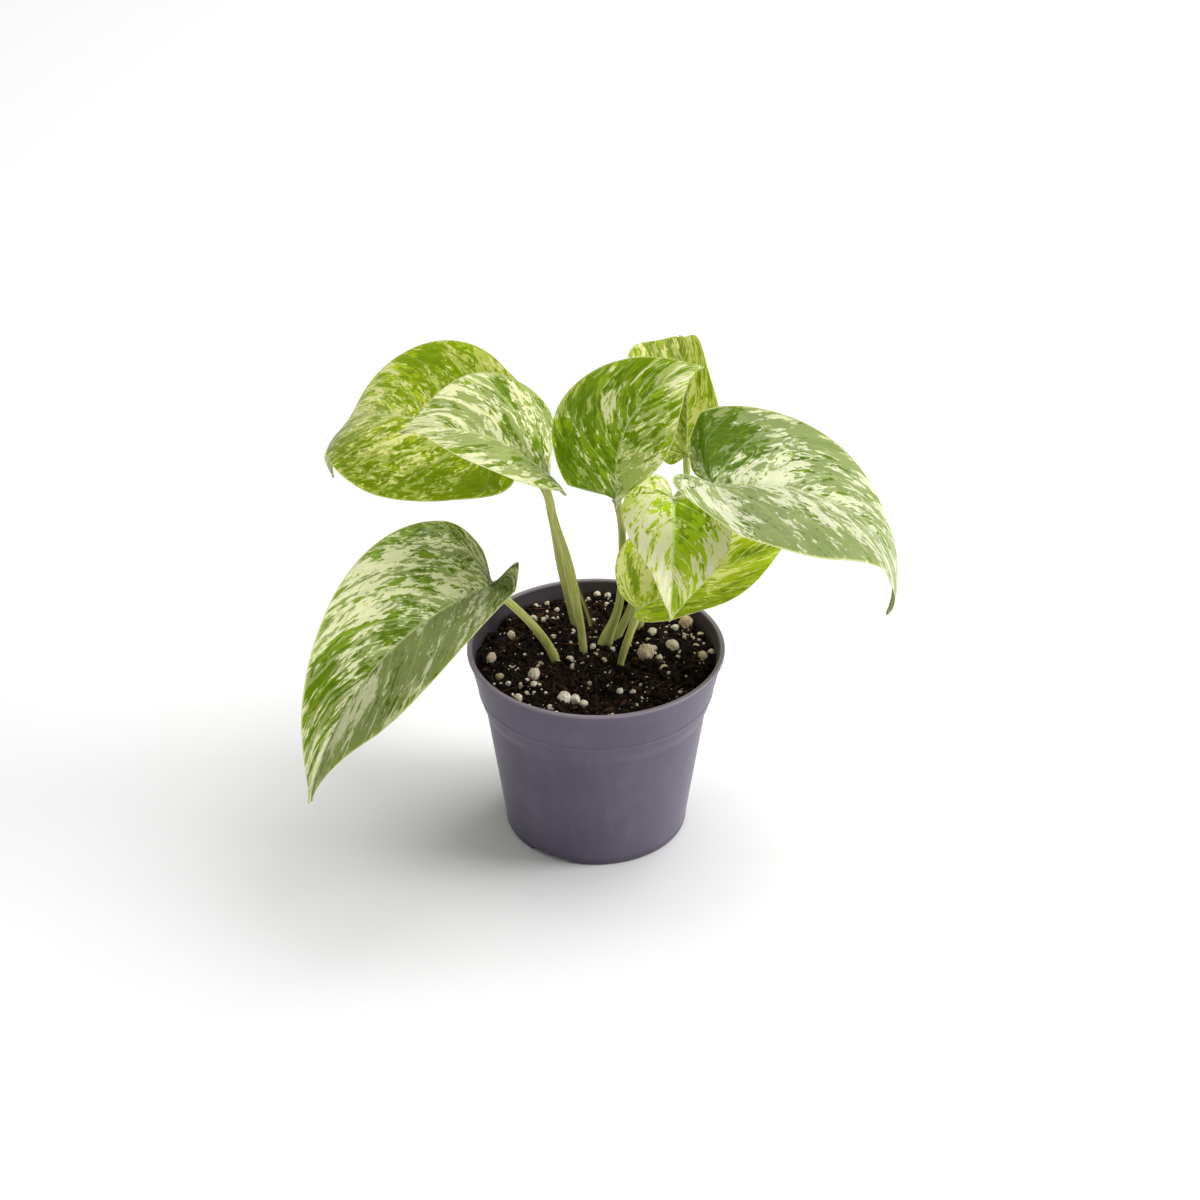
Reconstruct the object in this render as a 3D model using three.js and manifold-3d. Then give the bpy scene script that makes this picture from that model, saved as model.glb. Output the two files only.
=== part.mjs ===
// A potted marble queen pothos: eight leaves on long stalks in a round nursery pot.
// Millimetres, +Z up. The origin is the middle of the pot's underside, where it stands on the floor.
import * as THREE from 'three';
import { mergeVertices } from 'three/addons/utils/BufferGeometryUtils.js';
import Module from 'manifold-3d';

const wasm = await Module();
wasm.setup();

// The pot
const rimRadius = 50;
const rimHeight = 79.5;
const lipWidth = 2;
const lipHeight = 1.8;
const wallThickness = 1.3;
const collarFootRadius = 45.6;
const collarFootHeight = 61.5;
const wallTopRadius = 43.1;
const wallTopHeight = 53.5;
const baseRadius = 35.6;
const footHeight = 1.8;
const footWidth = 1.6;
const floorThickness = 1.5;
const padRadius = 9;
const potSides = 48;

// Slots cut in the foot and round holes in the floor, where water runs out
const footSlotCount = 3;
const footSlotAngle = 28;
const firstFootSlot = -121;
const drainHoleCount = 5;
const drainHoleRadius = 3.5;
const drainHoleCircle = 22;

// The soil
const soilLevel = 73.5;
const clearance = 0.35;
const cakeClearance = 0.45;
const soilRings = 8;
const soilSides = 36;
const perliteCount = 52;
const barkChipCount = 18;

// The leaves
const bladeThickness = 0.8;
const ribThickness = 1.5;
const ribShare = 0.7;
const rippleHeight = 0.6;
const rippleCount = 3.5;
const columns = 14;
const fanColumns = 5;
const rowShares = [0, 0.12, 0.36, 0.66, 1];
const midribSteps = 120;
const veinGrowth = 1.05;
const veinSlant = 0.3;
const veinReach = 0.6;
const fullestGain = 6.75;
const taperPower = 3;
const lobeReach = 0.64;
const tailShare = 0.3;

// Half of a leaf's outline, from the notch at its stalk, round the lobe, to the tip:
// shares of the leaf's length along the midrib and of the half's width across it.
const halfOutline = new THREE.SplineCurve([
  new THREE.Vector2(0, 0),
  new THREE.Vector2(-0.06, 0.12),
  new THREE.Vector2(-0.12, 0.34),
  new THREE.Vector2(-0.1, 0.64),
  new THREE.Vector2(0.03, 0.9),
  new THREE.Vector2(0.2, 1),
  new THREE.Vector2(0.38, 0.95),
  new THREE.Vector2(0.56, 0.75),
  new THREE.Vector2(0.72, 0.48),
  new THREE.Vector2(0.85, 0.22),
  new THREE.Vector2(0.94, 0.06),
  new THREE.Vector2(1, 0),
]);

// The stalks
const stalkFlatness = 0.9;
const stalkTopShare = 0.75;
const stalkTopSunk = 0.3;
const stalkTopForward = 0.4;
const stalkSides = 8;
const stalkSteps = 9;
const stalkDepth = 9;
const flareHeight = 9;
const bladeSeat = 0.3;
const seatReach = 16;

// Each leaf: where its stalk ends, how its midrib runs (heading round from +X, rise above level, droop
// by the tip, and how late that droop comes), how the blade rolls and twists about it, and its two halves.
// A half has its width, the fold up from flat, how far that fold opens by the tip, the curl to the margin,
// the lift and length of its lobe (under 0 where it has none), how full it is towards the tip, how much
// narrower it is at its base, how much slimmer the lobe is, and how much wider the tail at the tip. The
// stalk has its width, the share by which it is wider at the soil, and its route: the foot as x and y, then
// bends. Angles are in degrees.
const leaves = [
  {
    name: 'upper_left',
    stalkTop: [-43.6, 37.5, 149.2],
    heading: 151, rise: 4, droop: 106, lateness: 2.2, roll: -32, twist: 3, sweep: -13, length: 101.5,
    left: {
      width: 31.5, fold: 13, open: -4, curl: 46,
      lobeLift: 5, lobe: 1.7, fullness: 0.27, taper: 0, slim: 0, tail: -0.06,
    },
    right: {
      width: 34, fold: 21, open: 45, curl: -18,
      lobeLift: 8, lobe: 1.2, fullness: 0, taper: 0, slim: 0, tail: -0.06,
    },
    stalkWidth: 4.2, stalkFlare: 0,
    stalk: [[-8.1, 24.5], [-13.4, 24.5, 100], [-16.8, 25, 122], [-20.5, 25.5, 136]],
  },
  {
    name: 'middle_left',
    stalkTop: [-18.2, 2, 154.6],
    heading: 197, rise: 48, droop: 55, lateness: 1.5, roll: -5, twist: -24, sweep: 4, length: 65,
    left: {
      width: 20, fold: 16, open: 28, curl: 14,
      lobeLift: -13, lobe: 0.8, fullness: 0.11, taper: 0, slim: 0, tail: 0,
    },
    right: {
      width: 29.5, fold: 22, open: 9, curl: -7,
      lobeLift: -40, lobe: 1.3, fullness: 0.09, taper: 0, slim: 0, tail: 0,
    },
    stalkWidth: 3.4, stalkFlare: 0,
    stalk: [[-4.8, 5], [-9.6, 4.6, 111], [-15.8, 4.5, 134]],
  },
  {
    name: 'centre',
    stalkTop: [7.3, -3.9, 146.3],
    heading: -5, rise: 92, droop: 98, lateness: 1.7, roll: 27, twist: 20, sweep: 31, length: 70,
    left: {
      width: 26, fold: 12, open: 12, curl: -46,
      lobeLift: -54, lobe: 0.8, fullness: 0.16, taper: 0, slim: 0, tail: 0,
    },
    right: {
      width: 27, fold: 20, open: 2, curl: 13,
      lobeLift: -3, lobe: -0.3, fullness: 0.23, taper: 0.7, slim: 0, tail: 0,
    },
    stalkWidth: 3.6, stalkFlare: 0.7,
    stalk: [[3.4, 10.4], [9, 10, 92], [10, 6, 125]],
  },
  {
    name: 'back_right',
    stalkTop: [35, 34.5, 144.9],
    heading: 87, rise: 30, droop: 35, lateness: 1.4, roll: 21, twist: -24, sweep: 9, length: 69.5,
    left: {
      width: 33, fold: 33, open: 4, curl: 1,
      lobeLift: 2, lobe: 1.2, fullness: 0.05, taper: 0, slim: 0, tail: 0,
    },
    right: {
      width: 27, fold: 39, open: -26, curl: -80,
      lobeLift: 8, lobe: 1.3, fullness: -0.12, taper: 0, slim: 0, tail: 0,
    },
    stalkWidth: 3.2, stalkFlare: 0.1,
    stalk: [[24, 30], [31, 30, 105], [35, 31, 134]],
  },
  {
    name: 'right',
    stalkTop: [43.5, -7.3, 154.9],
    heading: 17, rise: -6, droop: 104, lateness: 1.8, roll: 7, twist: 3, sweep: -23, length: 111,
    left: {
      width: 33.5, fold: 24, open: 35, curl: -27,
      lobeLift: -34, lobe: 0.5, fullness: -0.19, taper: 0, slim: 0, tail: 0.1,
    },
    right: {
      width: 36.5, fold: 22, open: 5, curl: 56,
      lobeLift: 31, lobe: 2.4, fullness: 0.03, taper: 0, slim: 0.6, tail: 0.1,
    },
    stalkWidth: 3.4, stalkFlare: 0.1,
    stalk: [[17, 21], [22, 22, 105], [32, 17, 137]],
  },
  {
    name: 'front_small',
    stalkTop: [29.1, -8.3, 148.9],
    heading: -90, rise: -37, droop: 19, lateness: 1.6, roll: -31, twist: -1, sweep: -5, length: 46.5,
    left: {
      width: 23.5, fold: 31, open: -6, curl: 32,
      lobeLift: 15, lobe: 0.8, fullness: -0.1, taper: 0, slim: 0, tail: 0,
    },
    right: {
      width: 22.5, fold: 16, open: -4, curl: 60,
      lobeLift: 18, lobe: 1.3, fullness: -0.25, taper: 0, slim: 0, tail: 0,
    },
    stalkWidth: 3.2, stalkFlare: 0.1,
    stalk: [[8.3, 13.2], [14, 12.8, 90], [21, 12, 134]],
  },
  {
    name: 'lower_right',
    stalkTop: [15.6, -13.1, 103.8],
    heading: 42, rise: 4, droop: -6, lateness: 1.2, roll: 28, twist: 7, sweep: -19, length: 74.5,
    left: {
      width: 28, fold: 47, open: 21, curl: 13,
      lobeLift: 22, lobe: 0.8, fullness: 0, taper: 0, slim: 0, tail: 0,
    },
    right: {
      width: 23.5, fold: 35, open: 11, curl: -16,
      lobeLift: 29, lobe: 1.3, fullness: 0.09, taper: 0, slim: 0, tail: 0,
    },
    stalkWidth: 3.6, stalkFlare: -0.25,
    stalk: [[9.5, -6.8], [12.8, -11.3, 91]],
  },
  {
    name: 'lower_left',
    stalkTop: [-39.4, -15, 116.4],
    heading: 218, rise: -3, droop: 68, lateness: 1.5, roll: -16, twist: -13, sweep: 17, length: 115,
    left: {
      width: 27, fold: 25, open: 33, curl: -22,
      lobeLift: 79, lobe: 1.15, fullness: 0.11, taper: 0.3, slim: 0.8, tail: -0.03,
    },
    right: {
      width: 38.5, fold: 16, open: -6, curl: 16,
      lobeLift: 58, lobe: 0.4, fullness: -0.22, taper: 0, slim: 0, tail: 0,
    },
    stalkWidth: 4, stalkFlare: 0,
    stalk: [[-15.7, -0.5], [-22, -4, 88], [-33, -11, 106]],
  },
];

// A dry sheath left by an old leaf: a thin strip that stands beside the two left stalks
const sheathRoute = [[-2.2, 23.6], [-7, 24.2, 90], [-11.2, 24.2, 102]];
const sheathWidth = 2.6;
const sheathThickness = 0.9;
const sheathTopShare = 0.6;

const degrees = Math.PI / 180;

const finishes = {
  pot: new THREE.MeshStandardMaterial({ color: 0x6d6878, roughness: 0.55, metalness: 0 }),
  soil: new THREE.MeshStandardMaterial({ color: 0x2b1d15, roughness: 0.95, metalness: 0 }),
  leaf: new THREE.MeshStandardMaterial({ color: 0x9db84e, roughness: 0.4, metalness: 0 }),
  stalk: new THREE.MeshStandardMaterial({ color: 0xa9bd6a, roughness: 0.45, metalness: 0 }),
  sheath: new THREE.MeshStandardMaterial({ color: 0x9a8f4c, roughness: 0.7, metalness: 0 }),
};

// A closed geometry as a solid for cutting and joining
function solidOf(geometry) {
  const bare = geometry.clone();
  bare.deleteAttribute('normal');
  bare.deleteAttribute('uv');
  const merged = mergeVertices(bare, 1e-4);
  return new wasm.Manifold(new wasm.Mesh({
    numProp: 3,
    vertProperties: new Float32Array(merged.attributes.position.array),
    triVerts: new Uint32Array(merged.index.array),
  }));
}

// A solid back as a geometry
function geometryOf(solid) {
  const mesh = solid.getMesh();
  const geometry = new THREE.BufferGeometry();
  geometry.setAttribute('position', new THREE.BufferAttribute(new Float32Array(mesh.vertProperties), 3));
  geometry.setIndex(new THREE.BufferAttribute(new Uint32Array(mesh.triVerts), 1));
  return geometry;
}

// The main body of a solid, without the scraps that a cut left loose
function largestOf(solid) {
  return solid.decompose().reduce((a, b) => (a.volume() > b.volume() ? a : b));
}

// Numbers from 0 to 1 that come out the same each time
function seededRandom(seed) {
  let state = seed;
  return () => {
    state = (state * 1664525 + 1013904223) % 4294967296;
    return state / 4294967296;
  };
}

function lathe(points, sides) {
  return new THREE.LatheGeometry(points.map(([r, z]) => new THREE.Vector2(r, z)), sides).rotateX(Math.PI / 2);
}

// The outer radius of the pot's tapering wall, below the collar
function wallRadius(height) {
  return baseRadius + ((wallTopRadius - baseRadius) * height) / wallTopHeight;
}

// The pot: foot, tapering wall, shoulder, flared collar and rounded lip outside, and the same wall inside.
function makePot() {
  const lipFoot = rimHeight - lipHeight;
  const collarTop = rimRadius - 0.8;
  const floorTop = footHeight + floorThickness;
  const profile = [
    [0, 0],
    [padRadius, 0],
    [padRadius + footHeight, footHeight],
    [baseRadius - footWidth, footHeight],
    [baseRadius - footWidth, 0],
    [baseRadius, 0],
    [wallRadius(footHeight) + 0.25, footHeight],
    [wallRadius(footHeight), footHeight + 0.4],
    [wallTopRadius, wallTopHeight],
    [(wallTopRadius + collarFootRadius) / 2 + 0.3, (wallTopHeight + collarFootHeight) / 2],
    [collarFootRadius, collarFootHeight],
    [collarTop, lipFoot],
    [rimRadius, lipFoot + 0.4],
    [rimRadius, rimHeight - 0.5],
    [rimRadius - 0.5, rimHeight],
    [rimRadius - lipWidth + 0.4, rimHeight],
    [rimRadius - lipWidth, rimHeight - 0.5],
    [collarTop - wallThickness, lipFoot],
    [collarFootRadius - wallThickness, collarFootHeight],
    [wallTopRadius - wallThickness, wallTopHeight],
    [wallRadius(floorTop) - wallThickness - 0.8, floorTop + 0.2],
    [wallRadius(floorTop) - wallThickness - 1.6, floorTop],
    [0, floorTop],
  ];
  let pot = solidOf(lathe(profile, potSides));
  const slotInside = baseRadius - footWidth - 0.5;
  const slotOutside = baseRadius + 2;
  for (let k = 0; k < footSlotCount; k++) {
    const middle = (firstFootSlot + (k * 360) / footSlotCount) * degrees;
    const half = (footSlotAngle / 2) * degrees;
    const slot = new THREE.Shape();
    slot.absarc(0, 0, slotOutside, middle - half, middle + half, false);
    slot.absarc(0, 0, slotInside, middle + half, middle - half, true);
    slot.closePath();
    const cutter = new THREE.ExtrudeGeometry(slot, {
      depth: footHeight + 1, bevelEnabled: false, curveSegments: 6,
    }).translate(0, 0, -1);
    pot = pot.subtract(solidOf(cutter));
  }
  for (let k = 0; k < drainHoleCount; k++) {
    const angle = (k * 360 * degrees) / drainHoleCount;
    const hole = new THREE.CylinderGeometry(drainHoleRadius, drainHoleRadius, 3 * floorTop, 12);
    hole.rotateX(Math.PI / 2);
    hole.translate(drainHoleCircle * Math.cos(angle), drainHoleCircle * Math.sin(angle), 0);
    pot = pot.subtract(solidOf(hole));
  }
  return geometryOf(pot);
}

// The inner radius of the pot at a height
function innerRadius(height) {
  if (height < wallTopHeight) return wallRadius(height) - wallThickness;
  if (height < collarFootHeight) {
    const share = (height - wallTopHeight) / (collarFootHeight - wallTopHeight);
    return THREE.MathUtils.lerp(wallTopRadius, collarFootRadius, share) - wallThickness;
  }
  const share = (height - collarFootHeight) / (rimHeight - lipHeight - collarFootHeight);
  return THREE.MathUtils.lerp(collarFootRadius, rimRadius - 0.8, share) - wallThickness;
}

// The lumpy top of the soil
function soilHeight(x, y) {
  const broad = 0.8 * Math.sin(0.16 * x + 1.3) * Math.cos(0.14 * y + 0.4);
  const middling = 0.5 * Math.sin(0.41 * x + 0.33 * y) + 0.4 * Math.sin(0.37 * y - 0.52 * x + 2);
  const fine = 0.25 * Math.sin(1.1 * x + 0.7) * Math.sin(0.9 * y);
  return soilLevel + broad + middling + fine;
}

// A grain or chip set in the soil's top, turned at random
function setInSoil(shape, x, y, sunk, random) {
  shape.rotateX(random() * Math.PI).rotateZ(random() * Math.PI);
  return solidOf(shape.translate(x, y, soilHeight(x, y) - sunk));
}

// The soil: a cake that fills the pot, its top worked out point by point, with perlite grains and bark
// chips sunk in it and a plain hole for each stalk.
function makeSoil(holes) {
  const top = innerRadius(soilLevel) - 2 * cakeClearance;
  const ledge = innerRadius(collarFootHeight) - cakeClearance;
  const waist = innerRadius(wallTopHeight) - cakeClearance;
  const bottom = footHeight + floorThickness + clearance;
  const profile = [[0, bottom], [innerRadius(bottom) - cakeClearance - 2, bottom]];
  profile.push([waist, wallTopHeight], [ledge, collarFootHeight], [top, soilLevel]);
  for (let ring = soilRings - 1; ring >= 0; ring--) {
    profile.push([top * Math.sqrt(ring / soilRings), soilLevel]);
  }
  const cake = lathe(profile, soilSides);
  const position = cake.attributes.position;
  for (let k = 0; k < position.count; k++) {
    if (position.getZ(k) < soilLevel - 0.01) continue;
    position.setZ(k, soilHeight(position.getX(k), position.getY(k)));
  }
  let soil = solidOf(cake);
  const random = seededRandom(7);
  const pieces = [];
  for (let k = 0; k < perliteCount; k++) {
    const size = 0.7 + 1.7 * random() ** 3;
    const distance = (top - 3) * Math.sqrt(random());
    const angle = random() * 2 * Math.PI;
    const grain = new THREE.IcosahedronGeometry(size, 0).scale(1, 0.8 + 0.3 * random(), 0.8);
    pieces.push(setInSoil(grain, distance * Math.cos(angle), distance * Math.sin(angle), 0.2 * size, random));
  }
  for (let k = 0; k < barkChipCount; k++) {
    const distance = (top - 5) * Math.sqrt(random());
    const angle = random() * 2 * Math.PI;
    const chip = new THREE.BoxGeometry(3 + 3 * random(), 1.2 + random(), 1.2);
    pieces.push(setInSoil(chip, distance * Math.cos(angle), distance * Math.sin(angle), 0.3, random));
  }
  for (const piece of pieces) soil = soil.add(piece);
  for (const hole of holes) soil = soil.subtract(hole);
  return geometryOf(largestOf(soil));
}

// The point of a leaf's midrib at a share of its length, with the directions along it, to its left and out
// of its upper face. Behind the stalk it runs straight on.
function makeMidrib(leaf) {
  const along = (share) => {
    const u = THREE.MathUtils.clamp(share, 0, 1);
    const pitch = (leaf.rise - leaf.droop * u ** leaf.lateness) * degrees;
    const yaw = (leaf.heading + leaf.sweep * u) * degrees;
    const roll = (leaf.roll + leaf.twist * u) * degrees;
    const forward = new THREE.Vector3(
      Math.cos(pitch) * Math.cos(yaw), Math.cos(pitch) * Math.sin(yaw), Math.sin(pitch),
    );
    const level = new THREE.Vector3(-Math.sin(yaw), Math.cos(yaw), 0);
    const up = new THREE.Vector3().crossVectors(forward, level);
    const left = level.clone().multiplyScalar(Math.cos(roll)).addScaledVector(up, Math.sin(roll));
    const out = up.clone().multiplyScalar(Math.cos(roll)).addScaledVector(level, -Math.sin(roll));
    return { forward, left, out };
  };
  const points = [new THREE.Vector3(...leaf.stalkTop)];
  const stride = leaf.length / midribSteps;
  for (let k = 0; k < midribSteps; k++) {
    const { forward } = along((k + 0.5) / midribSteps);
    points.push(points[k].clone().addScaledVector(forward, stride));
  }
  return (share) => {
    const directions = along(share);
    if (share <= 0) {
      const point = points[0].clone().addScaledVector(directions.forward, share * leaf.length);
      return { point, ...directions };
    }
    const place = Math.min(share, 1) * midribSteps;
    const k = Math.min(Math.floor(place), midribSteps - 1);
    return { point: points[k].clone().lerp(points[k + 1], place - k), ...directions };
  };
}

// A point of a leaf's half laid flat: distance along the midrib and distance from it. Column 0 lies at the
// notch and column 1 at the tip; row 0 is the midrib and row 1 the margin. A column follows a side vein.
function flatPoint(leaf, half, column, row) {
  const edge = halfOutline.getPoint(column);
  const deepening = 1 - half.slim * Math.max(0, 1 - edge.y / lobeReach);
  const lobe = edge.x < 0 ? half.lobe * deepening : 1;
  const share = THREE.MathUtils.clamp(edge.x, 0, 1);
  const swell = 1 + half.fullness * fullestGain * share * share * (1 - share);
  const narrowing = 1 - half.taper * (1 - share) ** taperPower;
  const onTail = Math.max(0, 1 - (1 - share) / tailShare);
  const tail = half.tail * fullestGain * onTail * (1 - onTail) * (1 - onTail);
  const reach = Math.max(Math.max(edge.y, 0) * swell * narrowing + tail, 0) * half.width;
  const margin = new THREE.Vector2(edge.x * lobe * leaf.length, reach);
  const fan = fanColumns / columns;
  const grown = THREE.MathUtils.clamp((column - fan) / (1 - fan), 0, 1);
  const root = new THREE.Vector2(leaf.length * grown ** veinGrowth, 0);
  const bow = new THREE.Vector2(root.x + veinSlant * (margin.x - root.x), veinReach * margin.y);
  return new THREE.QuadraticBezierCurve(root, bow, margin).getPoint(row);
}

// The same point on the bent leaf. The half rises from the midrib at its fold and curls over to the margin.
function leafPoint(leaf, midrib, half, side, column, row) {
  const flat = flatPoint(leaf, half, column, row);
  const behind = Math.max(0, -flat.x);
  const lift = half.lobeLift * degrees;
  const share = flat.x < 0 ? (-behind * Math.cos(lift)) / leaf.length : flat.x / leaf.length;
  const fold = (half.fold - half.open * THREE.MathUtils.clamp(flat.x / leaf.length, 0, 1)) * degrees;
  const bend = (half.curl * degrees) / half.width;
  const outward = (Math.sin(fold) - Math.sin(fold - bend * flat.y)) / bend;
  const upward = (Math.cos(fold - bend * flat.y) - Math.cos(fold)) / bend;
  const ripple = rippleHeight * row * row * Math.sin(2 * Math.PI * rippleCount * column + side);
  const { point, left, out } = midrib(share);
  return point
    .addScaledVector(left, side * outward)
    .addScaledVector(out, upward + behind * Math.sin(lift) + ripple);
}

// A leaf blade: its upper face on a grid that follows the veins, its lower face a blade's thickness below,
// thicker along the midrib, and a narrow wall round the margin.
function makeBlade(leaf) {
  const midrib = makeMidrib(leaf);
  const rows = rowShares.length - 1;
  const points = [];
  const shares = [];
  const ids = new Map();
  const idOf = (side, i, j) => {
    let key = `${side},${i},${j}`;
    if (i === 0 || (j === 0 && i <= fanColumns)) key = 'notch';
    else if (i === columns) key = 'tip';
    else if (j === 0) key = `midrib,${i}`;
    if (!ids.has(key)) {
      const half = side > 0 ? leaf.left : leaf.right;
      ids.set(key, points.length);
      points.push(leafPoint(leaf, midrib, half, side, i / columns, rowShares[j]));
      shares.push([i / columns, rowShares[j]]);
    }
    return ids.get(key);
  };
  const faces = [];
  const addFace = (a, b, c) => {
    if (a !== b && b !== c && a !== c) faces.push([a, b, c]);
  };
  for (const side of [1, -1]) {
    for (let i = 0; i < columns; i++) {
      for (let j = 0; j < rows; j++) {
        const corners = [[i, j], [i + 1, j], [i + 1, j + 1], [i, j + 1]].map(([a, b]) => idOf(side, a, b));
        if (side < 0) corners.reverse();
        const [a, b, c, d] = corners;
        if (side > 0) {
          addFace(a, b, c);
          addFace(a, c, d);
        } else {
          addFace(a, b, d);
          addFace(b, c, d);
        }
      }
    }
  }
  const edge = [];
  for (let i = 0; i < columns; i++) edge.push(idOf(-1, i, rows));
  for (let i = columns; i > 0; i--) edge.push(idOf(1, i, rows));
  const upper = new THREE.BufferGeometry().setFromPoints(points);
  upper.setIndex(faces.flat());
  upper.computeVertexNormals();
  const normals = points.map((_, k) => new THREE.Vector3().fromBufferAttribute(upper.attributes.normal, k));
  const lowerPoints = points.map((point, k) => {
    const [column, row] = shares[k];
    const rib = (ribThickness - bladeThickness) * (1 - ribShare * column) * Math.max(0, 1 - 8 * row);
    return point.clone().addScaledVector(normals[k], -(bladeThickness + rib));
  });
  const count = points.length;
  const triangles = [...faces.flat()];
  for (const [a, b, c] of faces) triangles.push(count + a, count + c, count + b);
  edge.forEach((a, k) => {
    const b = edge[(k + 1) % edge.length];
    triangles.push(b, a, count + a, b, count + a, count + b);
  });
  const blade = new THREE.BufferGeometry().setFromPoints([...points, ...lowerPoints]);
  blade.setIndex(triangles);
  return blade;
}

// A rod along a smooth route whose section narrows from its foot to its top, and is wider by its flare at
// the soil. It starts in the soil, a stalk's depth down and straight below the foot of the route. grow makes
// it larger all round, as a cutter for its hole.
function makeRod(route, top, width, thickness, topShare, flare, grow = 0) {
  const [foot, ...bends] = route;
  const start = new THREE.Vector3(foot[0], foot[1], soilHeight(foot[0], foot[1]) - stalkDepth - grow);
  const points = [start, new THREE.Vector3(foot[0], foot[1], soilHeight(foot[0], foot[1]))];
  for (const bend of bends) points.push(new THREE.Vector3(...bend));
  if (top) points.push(top);
  const path = new THREE.CatmullRomCurve3(points, false, 'centripetal');
  const section = new THREE.Shape();
  for (let k = 0; k < stalkSides; k++) {
    const angle = (k * 2 * Math.PI) / stalkSides;
    const x = (width / 2 + grow) * Math.cos(angle);
    const y = (thickness / 2 + grow) * Math.sin(angle);
    if (k === 0) section.moveTo(x, y);
    else section.lineTo(x, y);
  }
  section.closePath();
  const settings = { steps: stalkSteps, bevelEnabled: false, extrudePath: path };
  const rod = new THREE.ExtrudeGeometry(section, settings);
  const centres = path.getSpacedPoints(stalkSteps);
  const stepLength = path.getLength() / stalkSteps;
  const position = rod.attributes.position;
  const corner = new THREE.Vector3();
  for (let k = 0; k < position.count; k++) {
    corner.fromBufferAttribute(position, k);
    const distances = centres.map((centre) => centre.distanceTo(corner));
    const nearest = distances.indexOf(Math.min(...distances));
    const aboveSoil = Math.max(0, nearest * stepLength - stalkDepth);
    const swell = 1 + flare * Math.exp(-((aboveSoil / flareHeight) ** 2));
    const share = swell * THREE.MathUtils.lerp(1, topShare, nearest / stalkSteps);
    corner.lerpVectors(centres[nearest], corner, share);
    position.setXYZ(k, corner.x, corner.y, corner.z);
  }
  return rod;
}

// A leaf's stalk, slightly flattened, from the soil up to the notch of its blade
function makeStalk(leaf, grow = 0) {
  const { point, forward, out } = makeMidrib(leaf)(0);
  const top = point.addScaledVector(out, -stalkTopSunk).addScaledVector(forward, stalkTopForward);
  const width = leaf.stalkWidth;
  return makeRod(leaf.stalk, top, width, stalkFlatness * width, stalkTopShare, leaf.stalkFlare, grow);
}

// A stalk cut to fit under its blade, with a little room all round: the blade near the stalk, grown by that
// room, is taken away from it.
function seatStalk(leaf) {
  const near = wasm.Manifold.cube(seatReach, true).translate(leaf.stalkTop);
  const room = wasm.Manifold.cube(2 * bladeSeat, true);
  const cutter = solidOf(makeBlade(leaf)).intersect(near).minkowskiSum(room);
  return geometryOf(largestOf(solidOf(makeStalk(leaf)).subtract(cutter)));
}

// The dry sheath, free at its top
function makeSheath(grow = 0) {
  return makeRod(sheathRoute, null, sheathWidth, sheathThickness, sheathTopShare, 0, grow);
}

const plant = new THREE.Group();
plant.name = 'potted_marble_queen_pothos';

function addPiece(name, geometry, material) {
  const piece = new THREE.Mesh(geometry, material);
  piece.name = name;
  plant.add(piece);
}

const holes = leaves.map((leaf) => solidOf(makeStalk(leaf, clearance)));
holes.push(solidOf(makeSheath(clearance)));

addPiece('pot', makePot(), finishes.pot);
addPiece('soil', makeSoil(holes), finishes.soil);
for (const leaf of leaves) {
  addPiece(`leaf_${leaf.name}`, makeBlade(leaf), finishes.leaf);
  addPiece(`stalk_${leaf.name}`, seatStalk(leaf), finishes.stalk);
}
addPiece('sheath', makeSheath(), finishes.sheath);

export default plant;
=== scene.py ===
# %% [markdown]
# # A potted marble queen pothos
#
# The plant is a young climber with marbled leaves, standing in a round nursery pot. Its construction comes
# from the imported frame: where the pot stands, where each stalk rises and how each blade lies. This script
# gives every one of those pieces its finished surface. Sizes are in millimetres while a shape is worked
# out, and become metres when the shape goes into a mesh.

# %% The frame
import math

import bpy
import numpy as np
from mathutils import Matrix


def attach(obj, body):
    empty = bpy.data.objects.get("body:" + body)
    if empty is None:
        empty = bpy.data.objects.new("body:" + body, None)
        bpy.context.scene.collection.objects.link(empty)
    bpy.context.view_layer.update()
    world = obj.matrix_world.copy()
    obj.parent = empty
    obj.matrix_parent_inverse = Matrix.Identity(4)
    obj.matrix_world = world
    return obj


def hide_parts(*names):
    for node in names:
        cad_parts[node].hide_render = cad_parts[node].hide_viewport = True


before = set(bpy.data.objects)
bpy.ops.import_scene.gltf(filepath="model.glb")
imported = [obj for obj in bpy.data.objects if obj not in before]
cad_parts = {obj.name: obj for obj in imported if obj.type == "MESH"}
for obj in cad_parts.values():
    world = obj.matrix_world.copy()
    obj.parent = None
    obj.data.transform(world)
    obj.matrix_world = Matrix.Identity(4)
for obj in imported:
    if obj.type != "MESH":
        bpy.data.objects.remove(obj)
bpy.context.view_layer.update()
MM = 0.001

# %% [markdown]
# ## The camera
#
# A product photographer stands well back with a long lens, so that the pot doesn't widen towards the
# viewer. The rim and the foot of the pot show as two ellipses, and their shapes give the camera's height
# and distance. A shorter lens close by would fill the frame as well, but would splay the leaves.

# %% The camera
CAMERA_LENS = 85
CAMERA_SENSOR = 36
CAMERA_RISE = math.radians(31.8)
CAMERA_DISTANCE = 1087
CAMERA_TARGET = (1.56, 0, 100.04)

camera_data = bpy.data.cameras.new("camera")
camera_data.lens = CAMERA_LENS
camera_data.sensor_width = CAMERA_SENSOR
camera = bpy.data.objects.new("camera", camera_data)
camera.location = (
    CAMERA_TARGET[0] * MM,
    (CAMERA_TARGET[1] - CAMERA_DISTANCE * math.cos(CAMERA_RISE)) * MM,
    (CAMERA_TARGET[2] + CAMERA_DISTANCE * math.sin(CAMERA_RISE)) * MM,
)
camera.rotation_euler = (math.pi / 2 - CAMERA_RISE, 0, 0)
bpy.context.scene.collection.objects.link(camera)
bpy.context.scene.camera = camera
print("The camera stands", CAMERA_DISTANCE, "mm from the plant")

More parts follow.
